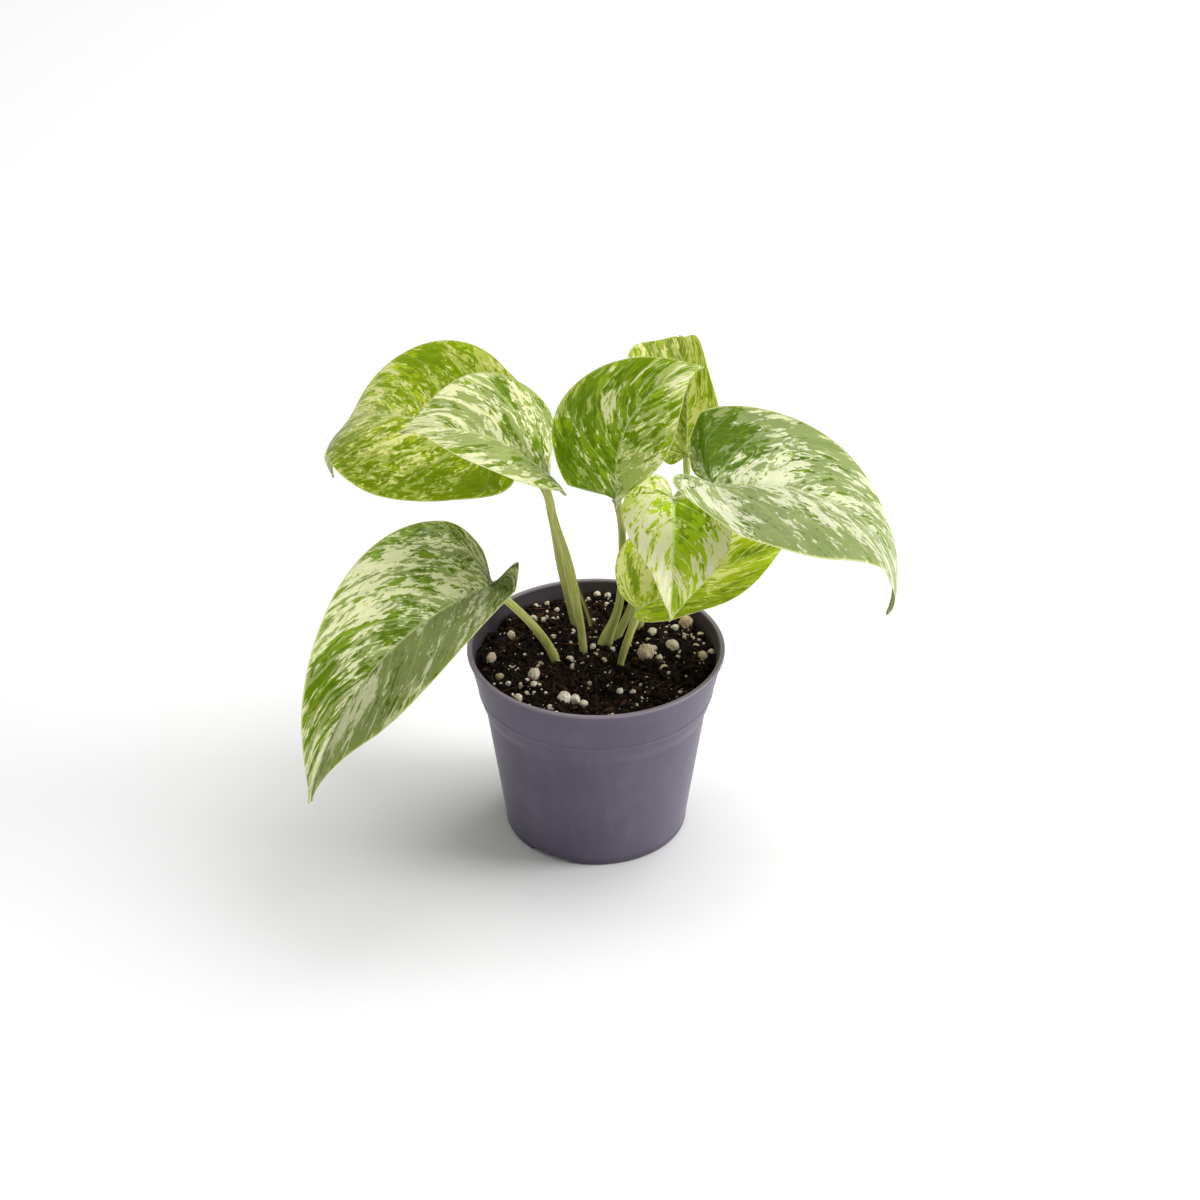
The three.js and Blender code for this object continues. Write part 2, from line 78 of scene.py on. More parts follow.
# %% [markdown]
# ## Floor and light
#
# The floor is one wide white sheet. A large soft light hangs high on the right and a little behind, so that
# the plant's shadow falls to the left and forward. A smaller one stands low on the right and brightens the
# side of the pot under the leaves, and a white world fills the shadows in. Bare lamps would draw hard edges.
# Wide ones keep them soft, as a studio's softboxes do.

# %% Floor and light
FLOOR_HALF = 4.0
SOFTBOX_SIZE = 2.3
SOFTBOX_PLACE = (1.0, 0.6, 2.4)
SOFTBOX_POWER = 64.0
SIDE_SIZE = 0.5
SIDE_PLACE = (1.3, -0.1, 0.45)
SIDE_POWER = 10.0
PLANT_MIDDLE = (0, 0, 0.1)
WORLD_STRENGTH = 0.37

bpy.context.scene.view_settings.view_transform = "Standard"

floor_mesh = bpy.data.meshes.new("floor")
floor_corners = [(x * FLOOR_HALF, y * FLOOR_HALF, 0) for x, y in ((-1, -1), (1, -1), (1, 1), (-1, 1))]
floor_mesh.from_pydata(floor_corners, [], [(0, 1, 2, 3)])
floor = bpy.data.objects.new("floor", floor_mesh)
bpy.context.scene.collection.objects.link(floor)

world = bpy.data.worlds.new("studio")
world.use_nodes = True
world.node_tree.nodes["Background"].inputs["Color"].default_value = (1, 1, 1, 1)
world.node_tree.nodes["Background"].inputs["Strength"].default_value = WORLD_STRENGTH
bpy.context.scene.world = world


def add_softbox(name, place, size, power):
    """A square area light at a place in metres, turned to face the middle of the plant."""
    data = bpy.data.lights.new(name, "AREA")
    data.size = size
    data.energy = power
    light = bpy.data.objects.new(name, data)
    light.location = place
    aim = np.array(PLANT_MIDDLE) - np.array(place)
    flat = math.hypot(aim[0], aim[1])
    light.rotation_euler = (math.atan2(flat, -aim[2]), 0, math.atan2(-aim[0], aim[1]))
    bpy.context.scene.collection.objects.link(light)


add_softbox("softbox", SOFTBOX_PLACE, SOFTBOX_SIZE, SOFTBOX_POWER)
add_softbox("side_softbox", SIDE_PLACE, SIDE_SIZE, SIDE_POWER)
print("Two softboxes, at", SOFTBOX_PLACE, "and", SIDE_PLACE)

# %% [markdown]
# ## Shader sums
#
# A finish is a small calculation at every point of a surface. Wiring it by hand takes dozens of nodes, so
# one class wraps a node's output and lets it be added and multiplied like a number. Each sign adds the Math
# node that it stands for.

# %% Shader sums


class Wire:
    """An output of a shader node that can be used in a sum."""

    def __init__(self, tree, socket):
        self.tree = tree
        self.socket = socket

    def node(self, kind, settings=None, output=0, **values):
        """Adds a node of a kind, makes its settings, fills its sockets, and returns one of its outputs. A
        socket goes by its name, with underscores for spaces, or by an underscore and its number."""
        made = self.tree.nodes.new(kind)
        for name, setting in (settings or {}).items():
            setattr(made, name, setting)
        for name, value in values.items():
            key = int(name[1:]) if name[1:].isdigit() else name.replace("_", " ")
            if isinstance(value, Wire):
                self.tree.links.new(value.socket, made.inputs[key])
            else:
                made.inputs[key].default_value = value
        return Wire(self.tree, made.outputs[output])

    def sum(self, operation, *values):
        """A Math node with an operation, and its values or wires in order."""
        sockets = {f"_{k}": value for k, value in enumerate(values)}
        return self.node("ShaderNodeMath", {"operation": operation}, **sockets)

    def __add__(self, other):
        return self.sum("ADD", self, other)

    __radd__ = __add__

    def __sub__(self, other):
        return self.sum("SUBTRACT", self, other)

    def __rsub__(self, other):
        return self.sum("SUBTRACT", other, self)

    def __mul__(self, other):
        return self.sum("MULTIPLY", self, other)

    __rmul__ = __mul__

    def __abs__(self):
        return self.sum("ABSOLUTE", self)

    def fraction(self):
        """What a number has past its last whole one."""
        return self.sum("FRACT", self)

    def step(self, low, high):
        """Rises smoothly from 0 at low to 1 at high."""
        settings = {"interpolation_type": "SMOOTHSTEP"}
        return self.node("ShaderNodeMapRange", settings, Value=self, From_Min=low, From_Max=high)

    def blend(self, first, second):
        """The first colour where this value is 0, the second where it is 1."""
        settings = {"data_type": "RGBA"}
        return self.node("ShaderNodeMix", settings, output=2, _0=self, _6=rgba(first), _7=rgba(second))

    def vector_sum(self, operation, **values):
        """A Vector Math node, whose first vector is this one."""
        return self.node("ShaderNodeVectorMath", {"operation": operation}, _0=self, **values)

    def scaled(self, x, y, z):
        """A vector with its three parts multiplied by three numbers."""
        return self.vector_sum("MULTIPLY", _1=(x, y, z))

    def noise(self, scale, detail=2.0, roughness=0.5):
        """Soft random patches that take this vector as their place."""
        values = {"Scale": scale, "Detail": detail, "Roughness": roughness}
        return self.node("ShaderNodeTexNoise", Vector=self, **values)

    def part(self, axis):
        """The x, y or z of a vector."""
        return self.node("ShaderNodeSeparateXYZ", output="XYZ".index(axis), Vector=self)


def rgba(colour):
    """A colour as a socket takes it: sRGB parts from 0 to 255 become light, and a wire stays a wire."""
    if isinstance(colour, Wire):
        return colour
    parts = np.array(colour) / 255
    light = np.where(parts <= 0.04045, parts / 12.92, ((parts + 0.055) / 1.055) ** 2.4)
    return (*(float(part) for part in light), 1)


def new_finish(name, roughness, **constants):
    """A material, its Principled shader with some sockets set, and a wire with the place on the object."""
    material = bpy.data.materials.new(name)
    material.use_nodes = True
    tree = material.node_tree
    shader = tree.nodes["Principled BSDF"]
    shader.inputs["Roughness"].default_value = roughness
    for key, value in constants.items():
        shader.inputs[key.replace("_", " ")].default_value = value
    place = Wire(tree, tree.nodes.new("ShaderNodeTexCoord").outputs["Object"])
    return material, shader, place


def attribute(wire, name):
    """A vector that the mesh stores at its points under a name."""
    return wire.node("ShaderNodeAttribute", {"attribute_name": name}, output=1)


def plug(wire, shader, name):
    """Feeds a wire into a socket of the shader."""
    wire.tree.links.new(wire.socket, shader.inputs[name])


def bump(shader, height, distance, strength):
    """Raises the surface's look by a height from 0 to 1, over a distance in metres."""
    normal = height.node("ShaderNodeBump", Strength=strength, Distance=distance, Height=height)
    plug(normal, shader, "Normal")


floor_finish, _, _ = new_finish("white_sheet", 0.9, Base_Color=(0.97, 0.97, 0.97, 1))
floor_mesh.materials.append(floor_finish)
print("The floor's finish has", len(floor_finish.node_tree.nodes), "nodes")

# %% [markdown]
# ## From arrays to pieces
#
# Every surface below is worked out as whole arrays: thousands of points in one sum. A grid of points is
# closed into faces by one rule, and points that fall together, such as a leaf's tip, are welded by giving
# them one number. Pushing single vertices about in a loop would give the same shape a hundred times slower.

# %% Faces


def grid_faces(numbers):
    """Four-cornered faces between neighbours of a grid of point numbers, as rows of four."""
    corners = (numbers[:-1, :-1], numbers[1:, :-1], numbers[1:, 1:], numbers[:-1, 1:])
    return np.stack(corners, axis=-1).reshape(-1, 4)


def closed(numbers):
    """A grid of point numbers with its first column again at the end, so that its faces go all round."""
    return np.concatenate((numbers, numbers[..., :1]), axis=-1)


def body_faces(rings, sides):
    """Faces of a closed body: rings of points that run anticlockwise seen from the last ring's side, then a
    point that closes the first ring and one that closes the last. Faces there have a doubled corner."""
    numbers = closed(np.arange(rings * sides).reshape(rings, sides))
    first, last = np.full(sides, rings * sides), np.full(sides, rings * sides + 1)
    start = np.stack((first, first, numbers[0, 1:], numbers[0, :-1]), axis=1)
    end = np.stack((numbers[-1, :-1], numbers[-1, 1:], last, last), axis=1)
    return np.vstack((grid_faces(numbers)[:, ::-1], start, end))


def ring_angles(sides):
    """The angles of evenly spaced points round a ring, in radians."""
    return np.arange(sides) * 2 * np.pi / sides


def on_circle(radius, angle):
    """Points of a flat circle, at angles in radians."""
    return np.stack((radius * np.cos(angle), radius * np.sin(angle)), axis=-1)


def without_doubles(faces):
    """Faces as tuples, each corner once: a face that touches a pole becomes a triangle, or goes."""
    kept = []
    for face in faces.tolist():
        corners = [a for a, b in zip(face, face[1:] + face[:1]) if a != b]
        if len(corners) > 2:
            kept.append(tuple(corners))
    return kept


small_body = without_doubles(body_faces(3, 5))
print("Three rings of five points, closed at both ends, have", len(small_body), "faces")

# %% Pieces


def make_piece(name, points, faces, node, slot, finish, attributes=None):
    """A smooth mesh from points in millimetres. It stands for a node of the frame and rides with the pot."""
    mesh = bpy.data.meshes.new(name)
    mesh.from_pydata((points * MM).tolist(), [], faces)
    mesh.shade_smooth()
    for key, values in (attributes or {}).items():
        stored = mesh.attributes.new(key, "FLOAT_VECTOR", "POINT")
        stored.data.foreach_set("vector", np.asarray(values, dtype=np.float32).ravel())
    mesh.materials.append(finish)
    piece = bpy.data.objects.new(name, mesh)
    bpy.context.scene.collection.objects.link(piece)
    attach(piece, "root")
    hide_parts(node)
    return piece


print("The pieces will replace these nodes:", ", ".join(sorted(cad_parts)))

# %% [markdown]
# ## The leaves
#
# A pothos leaf is a pointed heart. Its stalk joins at the notch, a midrib runs from there to the tip, and
# side veins leave the midrib, sweep out and bend towards the tip. The blade is folded up along the midrib
# like an open book, curls over to its margins and droops. Sculpting eight leaves by hand would make them
# eight strangers. Here one formula draws them all, and each leaf is a short recipe. The recipes are those
# of the frame's blades, so the fine leaf lies where the plain one does.
#
# Lengths are in millimetres and angles in degrees. The midrib leaves the top of the stalk at its heading,
# and on its way it rises, droops, sweeps aside, rolls and twists. Each half folds up from the midrib, opens
# towards the tip, curls over to its margin and lifts its lobe behind the stalk. All halves share one
# outline. A recipe changes it by how far the lobe reaches back, how full the middle is, how much the half
# tapers towards the notch, how slim the lobe is, and how full or hollow the tail before the tip is. The
# stalk has a width, a flare at its foot, and the places that it passes, the first of them on the soil.
# Warmth, the painted light and shade of each half and a painted sheen near the tip belong to the finish.
#
# The marbling has a cause, too. Two layers of cells lie under the skin, and in each one some families of
# cells have lost their green. Where both layers are green the leaf is dark, where only the upper one is
# green it is bright, where only the lower one is it is sage, and where neither is it is cream. Families
# grow outwards along the veins, so the patches do too. Each half therefore says how green its upper and its
# lower layer are, and a list of patches says where they are greener or paler than the rest: half, place
# round the leaf, place from midrib to margin, reach both ways, and how much greener each layer is there.

# %% Leaf recipes
OUTLINE = np.array([
    (0, 0), (-0.06, 0.12), (-0.12, 0.34), (-0.1, 0.64), (0.03, 0.9), (0.2, 1),
    (0.38, 0.95), (0.56, 0.75), (0.72, 0.48), (0.85, 0.22), (0.94, 0.06), (1, 0),
])
LEAVES = {
    "upper_left": {
        "stalk_top": (-43.6, 37.5, 149.2), "length": 101.5,
        "heading": 151, "rise": 4, "droop": 106, "lateness": 2.2, "roll": -32, "twist": 3, "sweep": -13,
        "left": {"width": 31.5, "fold": 13, "open": -4, "curl": 46, "lobe_lift": 5, "lobe": 1.7,
                 "fullness": 0.27, "taper": 0, "slim": 0, "tail": -0.06, "green": (0.05, 0.06)},
        "right": {"width": 34, "fold": 21, "open": 45, "curl": -18, "lobe_lift": 8, "lobe": 1.2,
                 "fullness": 0, "taper": 0, "slim": 0, "tail": -0.06, "green": (0.03, 0.04)},
        "stalk_width": 4.2, "stalk_flare": 0,
        "stalk": [(-8.1, 24.5), (-13.4, 24.5, 100), (-16.8, 25, 122), (-20.5, 25.5, 136)],
        "warmth": 0.8, "painted_light_and_shade": (1.1, 1.19), "painted_sheen": 0.45,
        "patches": [
            ("right", 0.35, 0.85, 0.12, 0.3, -0.05, -0.07),
            ("right", 0.43, 0.85, 0.05, 0.2, -0.07, 0.07),
            ("right", 0.58, 0.6, 0.08, 0.35, 0.05, 0.05),
            ("right", 0.72, 0.5, 0.08, 0.4, -0.01, -0.04),
            ("left", 0.26, 0.75, 0.15, 0.45, 0.08, 0.08),
            ("right", 0.5, 0.85, 0.1, 0.3, 0.06, 0.06),
            ("left", 0.55, 0.35, 0.05, 0.3, -0.05, -0.09),
            ("left", 0.75, 0.4, 0.12, 0.5, -0.05, 0.05),
        ],
    },
    "middle_left": {
        "stalk_top": (-18.2, 2, 154.6), "length": 65,
        "heading": 197, "rise": 48, "droop": 55, "lateness": 1.5, "roll": -5, "twist": -24, "sweep": 4,
        "left": {"width": 20, "fold": 16, "open": 28, "curl": 14, "lobe_lift": -13, "lobe": 0.8,
                 "fullness": 0.11, "taper": 0, "slim": 0, "tail": 0, "green": (-0.07, 0.02)},
        "right": {"width": 29.5, "fold": 22, "open": 9, "curl": -7, "lobe_lift": -40, "lobe": 1.3,
                 "fullness": 0.09, "taper": 0, "slim": 0, "tail": 0, "green": (-0.05, -0.01)},
        "stalk_width": 3.4, "stalk_flare": 0,
        "stalk": [(-4.8, 5), (-9.6, 4.6, 111), (-15.8, 4.5, 134)],
        "warmth": 0.35, "painted_light_and_shade": (0.96, 0.95), "painted_sheen": 0,
        "patches": [
            ("right", 0.57, 0.75, 0.025, 0.3, 0.13, 0.13),
            ("right", 0.58, 0.2, 0.03, 0.2, 0.13, 0.11),
            ("right", 0.72, 0.4, 0.1, 0.35, -0.04, 0.05),
            ("right", 0.42, 0.35, 0.03, 0.3, 0.04, 0.07),
            ("right", 0.72, 0.85, 0.06, 0.15, -0.02, 0.07),
            ("left", 0.68, 0.35, 0.13, 0.35, -0.07, 0.14),
            ("left", 0.55, 0.2, 0.1, 0.2, 0.02, 0.11),
            ("left", 0.6, 0.95, 0.3, 0.25, -0.04, -0.07),
        ],
    },
    "centre": {
        "stalk_top": (7.3, -3.9, 146.3), "length": 70,
        "heading": -5, "rise": 92, "droop": 98, "lateness": 1.7, "roll": 27, "twist": 20, "sweep": 31,
        "left": {"width": 26, "fold": 12, "open": 12, "curl": -46, "lobe_lift": -54, "lobe": 0.8,
                 "fullness": 0.16, "taper": 0, "slim": 0, "tail": 0, "green": (0.08, 0.07)},
        "right": {"width": 27, "fold": 20, "open": 2, "curl": 13, "lobe_lift": -3, "lobe": -0.3,
                 "fullness": 0.23, "taper": 0.7, "slim": 0, "tail": 0, "green": (-0.01, 0.03)},
        "stalk_width": 3.6, "stalk_flare": 0.7,
        "stalk": [(3.4, 10.4), (9, 10, 92), (10, 6, 125)],
        "warmth": 0.45, "painted_light_and_shade": (1.15, 1.14), "painted_sheen": 0,
        "patches": [
            ("left", 0.38, 0.75, 0.1, 0.35, 0.07, 0.07),
            ("left", 0.52, 0.85, 0.05, 0.2, -0.04, -0.04),
            ("left", 0.75, 0.55, 0.06, 0.4, 0.04, 0.04),
            ("left", 0.9, 0.5, 0.07, 0.6, -0.09, -0.04),
            ("left", 0.65, 0.2, 0.1, 0.2, -0.04, -0.03),
            ("right", 0.5, 0.65, 0.08, 0.4, -0.09, 0.13),
            ("right", 0.62, 0.25, 0.04, 0.2, 0.07, 0.09),
            ("right", 0.85, 0.6, 0.08, 0.6, -0.04, -0.02),
        ],
    },
    "back_right": {
        "stalk_top": (35, 34.5, 144.9), "length": 69.5,
        "heading": 87, "rise": 30, "droop": 35, "lateness": 1.4, "roll": 21, "twist": -24, "sweep": 9,
        "left": {"width": 33, "fold": 33, "open": 4, "curl": 1, "lobe_lift": 2, "lobe": 1.2,
                 "fullness": 0.05, "taper": 0, "slim": 0, "tail": 0, "green": (0.04, 0.02)},
        "right": {"width": 27, "fold": 39, "open": -26, "curl": -80, "lobe_lift": 8, "lobe": 1.3,
                 "fullness": -0.12, "taper": 0, "slim": 0, "tail": 0, "green": (0, -0.02)},
        "stalk_width": 3.2, "stalk_flare": 0.1,
        "stalk": [(24, 30), (31, 30, 105), (35, 31, 134)],
        "warmth": 0.8, "painted_light_and_shade": (0.93, 1.15), "painted_sheen": 0,
        "patches": [
            ("left", 0.25, 0.6, 0.08, 0.5, -0.04, -0.04),
            ("right", 0.5, 0.85, 0.06, 0.3, 0.07, 0.04),
            ("right", 0.75, 0.6, 0.1, 0.5, -0.05, 0.05),
        ],
    },
    "right": {
        "stalk_top": (43.5, -7.3, 154.9), "length": 111,
        "heading": 17, "rise": -6, "droop": 104, "lateness": 1.8, "roll": 7, "twist": 3, "sweep": -23,
        "left": {"width": 33.5, "fold": 24, "open": 35, "curl": -27, "lobe_lift": -34, "lobe": 0.5,
                 "fullness": -0.19, "taper": 0, "slim": 0, "tail": 0.1, "green": (-0.08, -0.01)},
        "right": {"width": 36.5, "fold": 22, "open": 5, "curl": 56, "lobe_lift": 31, "lobe": 2.4,
                 "fullness": 0.03, "taper": 0, "slim": 0.6, "tail": 0.1, "green": (-0.09, 0.03)},
        "stalk_width": 3.4, "stalk_flare": 0.1,
        "stalk": [(17, 21), (22, 22, 105), (32, 17, 137)],
        "warmth": 0.15, "painted_light_and_shade": (0.9, 0.865), "painted_sheen": 0,
        "patches": [
            ("left", 0.34, 0.65, 0.1, 0.65, 0.26, 0.26),
            ("left", 0.44, 0.4, 0.05, 0.35, 0.07, 0.05),
            ("left", 0.48, 0.95, 0.04, 0.15, -0.07, -0.11),
            ("left", 0.55, 0.85, 0.07, 0.2, -0.07, 0.11),
            ("left", 0.47, 0.15, 0.1, 0.2, -0.07, -0.09),
            ("left", 0.66, 0.7, 0.07, 0.4, -0.07, 0.07),
            ("right", 0.32, 0.5, 0.06, 0.5, -0.04, -0.04),
            ("right", 0.47, 0.65, 0.07, 0.35, -0.07, 0.11),
            ("right", 0.62, 0.5, 0.06, 0.35, -0.07, -0.09),
            ("right", 0.6, 0.9, 0.12, 0.15, -0.09, 0.09),
            ("right", 0.85, 0.5, 0.1, 0.8, -0.05, 0.05),
        ],
    },
    "front_small": {
        "stalk_top": (29.1, -8.3, 148.9), "length": 46.5,
        "heading": -90, "rise": -37, "droop": 19, "lateness": 1.6, "roll": -31, "twist": -1, "sweep": -5,
        "left": {"width": 23.5, "fold": 31, "open": -6, "curl": 32, "lobe_lift": 15, "lobe": 0.8,
                 "fullness": -0.1, "taper": 0, "slim": 0, "tail": 0, "green": (0, -0.08)},
        "right": {"width": 22.5, "fold": 16, "open": -4, "curl": 60, "lobe_lift": 18, "lobe": 1.3,
                 "fullness": -0.25, "taper": 0, "slim": 0, "tail": 0, "green": (-0.07, -0.06)},
        "stalk_width": 3.2, "stalk_flare": 0.1,
        "stalk": [(8.3, 13.2), (14, 12.8, 90), (21, 12, 134)],
        "warmth": 0.6, "painted_light_and_shade": (1.23, 1.24), "painted_sheen": 0,
        "patches": [
            ("left", 0.45, 0.22, 0.24, 0.3, 0.22, 0.09),
            ("left", 0.42, 0.15, 0.08, 0.2, 0.04, 0.13),
            ("left", 0.55, 0.85, 0.06, 0.2, -0.13, -0.11),
            ("left", 0.3, 0.7, 0.12, 0.4, 0.05, -0.02),
            ("left", 0.8, 0.5, 0.08, 0.4, -0.05, -0.04),
            ("right", 0.42, 0.35, 0.05, 0.25, 0.11, 0),
            ("right", 0.25, 0.7, 0.08, 0.4, 0.04, -0.04),
            ("right", 0.42, 0.9, 0.06, 0.2, 0, 0.05),
        ],
    },
    "lower_right": {
        "stalk_top": (15.6, -13.1, 103.8), "length": 74.5,
        "heading": 42, "rise": 4, "droop": -6, "lateness": 1.2, "roll": 28, "twist": 7, "sweep": -19,
        "left": {"width": 28, "fold": 47, "open": 21, "curl": 13, "lobe_lift": 22, "lobe": 0.8,
                 "fullness": 0, "taper": 0, "slim": 0, "tail": 0, "green": (0.01, -0.04)},
        "right": {"width": 23.5, "fold": 35, "open": 11, "curl": -16, "lobe_lift": 29, "lobe": 1.3,
                 "fullness": 0.09, "taper": 0, "slim": 0, "tail": 0, "green": (0.12, 0)},
        "stalk_width": 3.6, "stalk_flare": -0.25,
        "stalk": [(9.5, -6.8), (12.8, -11.3, 91)],
        "warmth": 0.9, "painted_light_and_shade": (1.15, 1.12), "painted_sheen": 0,
        "patches": [
            ("left", 0.3, 0.6, 0.1, 0.6, -0.07, -0.02),
            ("left", 0.37, 0.45, 0.02, 0.4, 0.14, 0.14),
            ("left", 0.8, 0.5, 0.12, 0.6, 0.02, -0.02),
            ("right", 0.68, 0.25, 0.1, 0.3, -0.13, -0.09),
        ],
    },
    "lower_left": {
        "stalk_top": (-39.4, -15, 116.4), "length": 115,
        "heading": 218, "rise": -3, "droop": 68, "lateness": 1.5, "roll": -16, "twist": -13, "sweep": 17,
        "left": {"width": 27, "fold": 25, "open": 33, "curl": -22, "lobe_lift": 79, "lobe": 1.15,
                 "fullness": 0.11, "taper": 0.3, "slim": 0.8, "tail": -0.03, "green": (-0.07, 0.02)},
        "right": {"width": 38.5, "fold": 16, "open": -6, "curl": 16, "lobe_lift": 58, "lobe": 0.4,
                 "fullness": -0.22, "taper": 0, "slim": 0, "tail": 0, "green": (-0.02, -0.01)},
        "stalk_width": 4, "stalk_flare": 0,
        "stalk": [(-15.7, -0.5), (-22, -4, 88), (-33, -11, 106)],
        "warmth": 0.25, "painted_light_and_shade": (0.875, 0.995), "painted_sheen": 0,
        "patches": [
            ("right", 0.38, 0.9, 0.05, 0.15, 0.07, 0.04),
            ("right", 0.34, 0.4, 0.08, 0.4, -0.04, 0.03),
            ("right", 0.52, 0.75, 0.07, 0.35, -0.07, -0.07),
            ("right", 0.6, 0.55, 0.05, 0.3, -0.05, -0.09),
            ("right", 0.58, 0.18, 0.06, 0.17, 0.11, 0.11),
            ("right", 0.73, 0.55, 0.08, 0.5, 0.09, 0.09),
            ("right", 0.9, 0.5, 0.06, 0.6, -0.04, -0.05),
            ("left", 0.55, 0.4, 0.15, 0.45, -0.09, 0.13),
            ("left", 0.3, 0.5, 0.08, 0.6, 0.05, 0.05),
            ("left", 0.78, 0.25, 0.08, 0.25, -0.09, -0.13),
            ("left", 0.75, 0.85, 0.1, 0.2, -0.07, 0.11),
            ("left", 0.48, 0.75, 0.04, 0.2, 0, -0.07),
        ],
    },
}
print(len(LEAVES), "leaves, the longest", max(leaf["length"] for leaf in LEAVES.values()), "mm")

# %% [markdown]
# A blade is worked out flat first, on a grid. Its columns are side veins from the notch round to the tip,
# and its rows run from the midrib to the margin. Then each half is rolled up to its fold and curl, and hung
# on the midrib. A net of squares would be simpler, but its edges would cut across the veins and leave steps
# along the margin.

# %% The midrib
MIDRIB_STEPS = 120


def directions(leaf, share):
    """Unit vectors along the midrib, to its left and out of the upper face, at shares of its length.

    The midrib's pitch is its rise less the droop, which grows as a power of the share. Its heading turns by
    the sweep, and the blade rolls about it by the roll and the twist."""
    u = np.clip(share, 0, 1)
    pitch = np.radians(leaf["rise"] - leaf["droop"] * u ** leaf["lateness"])
    yaw = np.radians(leaf["heading"] + leaf["sweep"] * u)
    roll = np.radians(leaf["roll"] + leaf["twist"] * u)[..., None]
    ahead = (np.cos(pitch) * np.cos(yaw), np.cos(pitch) * np.sin(yaw), np.sin(pitch))
    forward = np.stack(ahead, axis=-1)
    level = np.stack((-np.sin(yaw), np.cos(yaw), 0 * yaw), axis=-1)
    up = np.cross(forward, level)
    return forward, level * np.cos(roll) + up * np.sin(roll), up * np.cos(roll) - level * np.sin(roll)


def midrib_at(leaf, share):
    """Points of the midrib: its directions added up step by step from the stalk, straight on behind it."""
    middles = (np.arange(MIDRIB_STEPS) + 0.5) / MIDRIB_STEPS
    strides = directions(leaf, middles)[0] * leaf["length"] / MIDRIB_STEPS
    path = np.array(leaf["stalk_top"]) + np.vstack((np.zeros(3), np.cumsum(strides, axis=0)))
    knots = np.linspace(0, 1, MIDRIB_STEPS + 1)
    along = np.clip(share, 0, 1)
    on_path = np.stack([np.interp(along, knots, path[:, k]) for k in range(3)], axis=-1)
    behind = np.minimum(share, 0)[..., None] * leaf["length"]
    return on_path + behind * directions(leaf, np.zeros(1))[0][0]


for name, leaf in LEAVES.items():
    print("The tip of", name, "is at", midrib_at(leaf, np.ones(1))[0].round(1), "mm")

# %% A half laid flat
FAN_SHARE = 5 / 14
VEIN_GROWTH = 1.05
VEIN_SLANT = 0.3
VEIN_REACH = 0.6
FULLEST_GAIN = 27 / 4
TAPER_POWER = 3
LOBE_REACH = 0.64
TAIL_SHARE = 0.3


def outline_at(places):
    """The half outline at places from 0 at the notch to 1 at the tip: a smooth curve through its points."""
    last = len(OUTLINE) - 1
    reach = np.clip(places, 0, 1) * last
    k = np.minimum(reach.astype(int), last - 1)
    t = (reach - k)[..., None]
    before, start, end, after = (OUTLINE[np.clip(k + step, 0, last)] for step in (-1, 0, 1, 2))
    leave, arrive = (end - before) / 2, (after - start) / 2
    cubic = (2 * start - 2 * end + leave + arrive) * t**3
    return cubic + (-3 * start + 3 * end - 2 * leave - arrive) * t**2 + leave * t + start


def flat_half(leaf, half, column, row):
    """A half laid flat: distances along the midrib and away from it, and the length of the side vein.

    The margin is the outline with the recipe's changes. Fullness widens it by a bulge, x squared times 1 - x,
    the taper narrows it by a power of 1 - x, and the tail adds the bulge's mirror image before the tip. The
    gain brings both bulges to a height of one. Each column is a side vein, a bow from its root on the midrib
    to its end on the margin. The columns before the fan share all start at the notch."""
    edge = outline_at(column)
    share = np.clip(edge[..., 0], 0, 1)
    deepening = 1 - half["slim"] * np.maximum(0, 1 - edge[..., 1] / LOBE_REACH)
    swell = 1 + half["fullness"] * FULLEST_GAIN * share**2 * (1 - share)
    narrowing = 1 - half["taper"] * (1 - share) ** TAPER_POWER
    on_tail = np.maximum(0, 1 - (1 - share) / TAIL_SHARE)
    tail = half["tail"] * FULLEST_GAIN * on_tail * (1 - on_tail) ** 2
    margin = np.where(edge[..., 0] < 0, edge[..., 0] * half["lobe"] * deepening, edge[..., 0])
    margin_x = margin * leaf["length"]
    margin_y = np.maximum(np.maximum(edge[..., 1], 0) * swell * narrowing + tail, 0) * half["width"]
    grown = np.clip((column - FAN_SHARE) / (1 - FAN_SHARE), 0, 1) ** VEIN_GROWTH
    root_x = leaf["length"] * grown
    bow_x = root_x + VEIN_SLANT * (margin_x - root_x)
    x = (1 - row) ** 2 * root_x + 2 * row * (1 - row) * bow_x + row**2 * margin_x
    y = 2 * row * (1 - row) * VEIN_REACH * margin_y + row**2 * margin_y
    return x, y, np.hypot(margin_x - root_x, margin_y)


print("The outline is widest", OUTLINE[OUTLINE[:, 1].argmax(), 0], "of the way from the notch to the tip")

# %% A half in the round
SIDE_VEINS = 11
VEIN_LEAN = 0.16
DOME_HEIGHT = 0.34
DOME_BREADTH = 0.6
DOME_FADE = 0.7
CREASE_DEPTH = 0.45
CREASE_REACH = 0.8
RIPPLE_HEIGHT = 0.6
RIPPLE_COUNT = 3.5


def vein_through(column, row):
    """The column on the midrib from which the side vein through a point started. Veins lean towards the tip
    on their way out, most in the middle of the leaf."""
    return column - 4 * VEIN_LEAN * column * (1 - column) * row


def relief(column, row, y):
    """Height of the upper face: it domes between the side veins and dips along them and along the midrib."""
    between = np.sin(np.pi * SIDE_VEINS * vein_through(column, row)) ** 2
    from_edges = np.sin(np.pi * np.clip(row, 0, 1))
    dome = DOME_HEIGHT * between**DOME_BREADTH * from_edges**DOME_FADE
    crease = CREASE_DEPTH * np.exp(-((y / CREASE_REACH) ** 2))
    return dome - crease


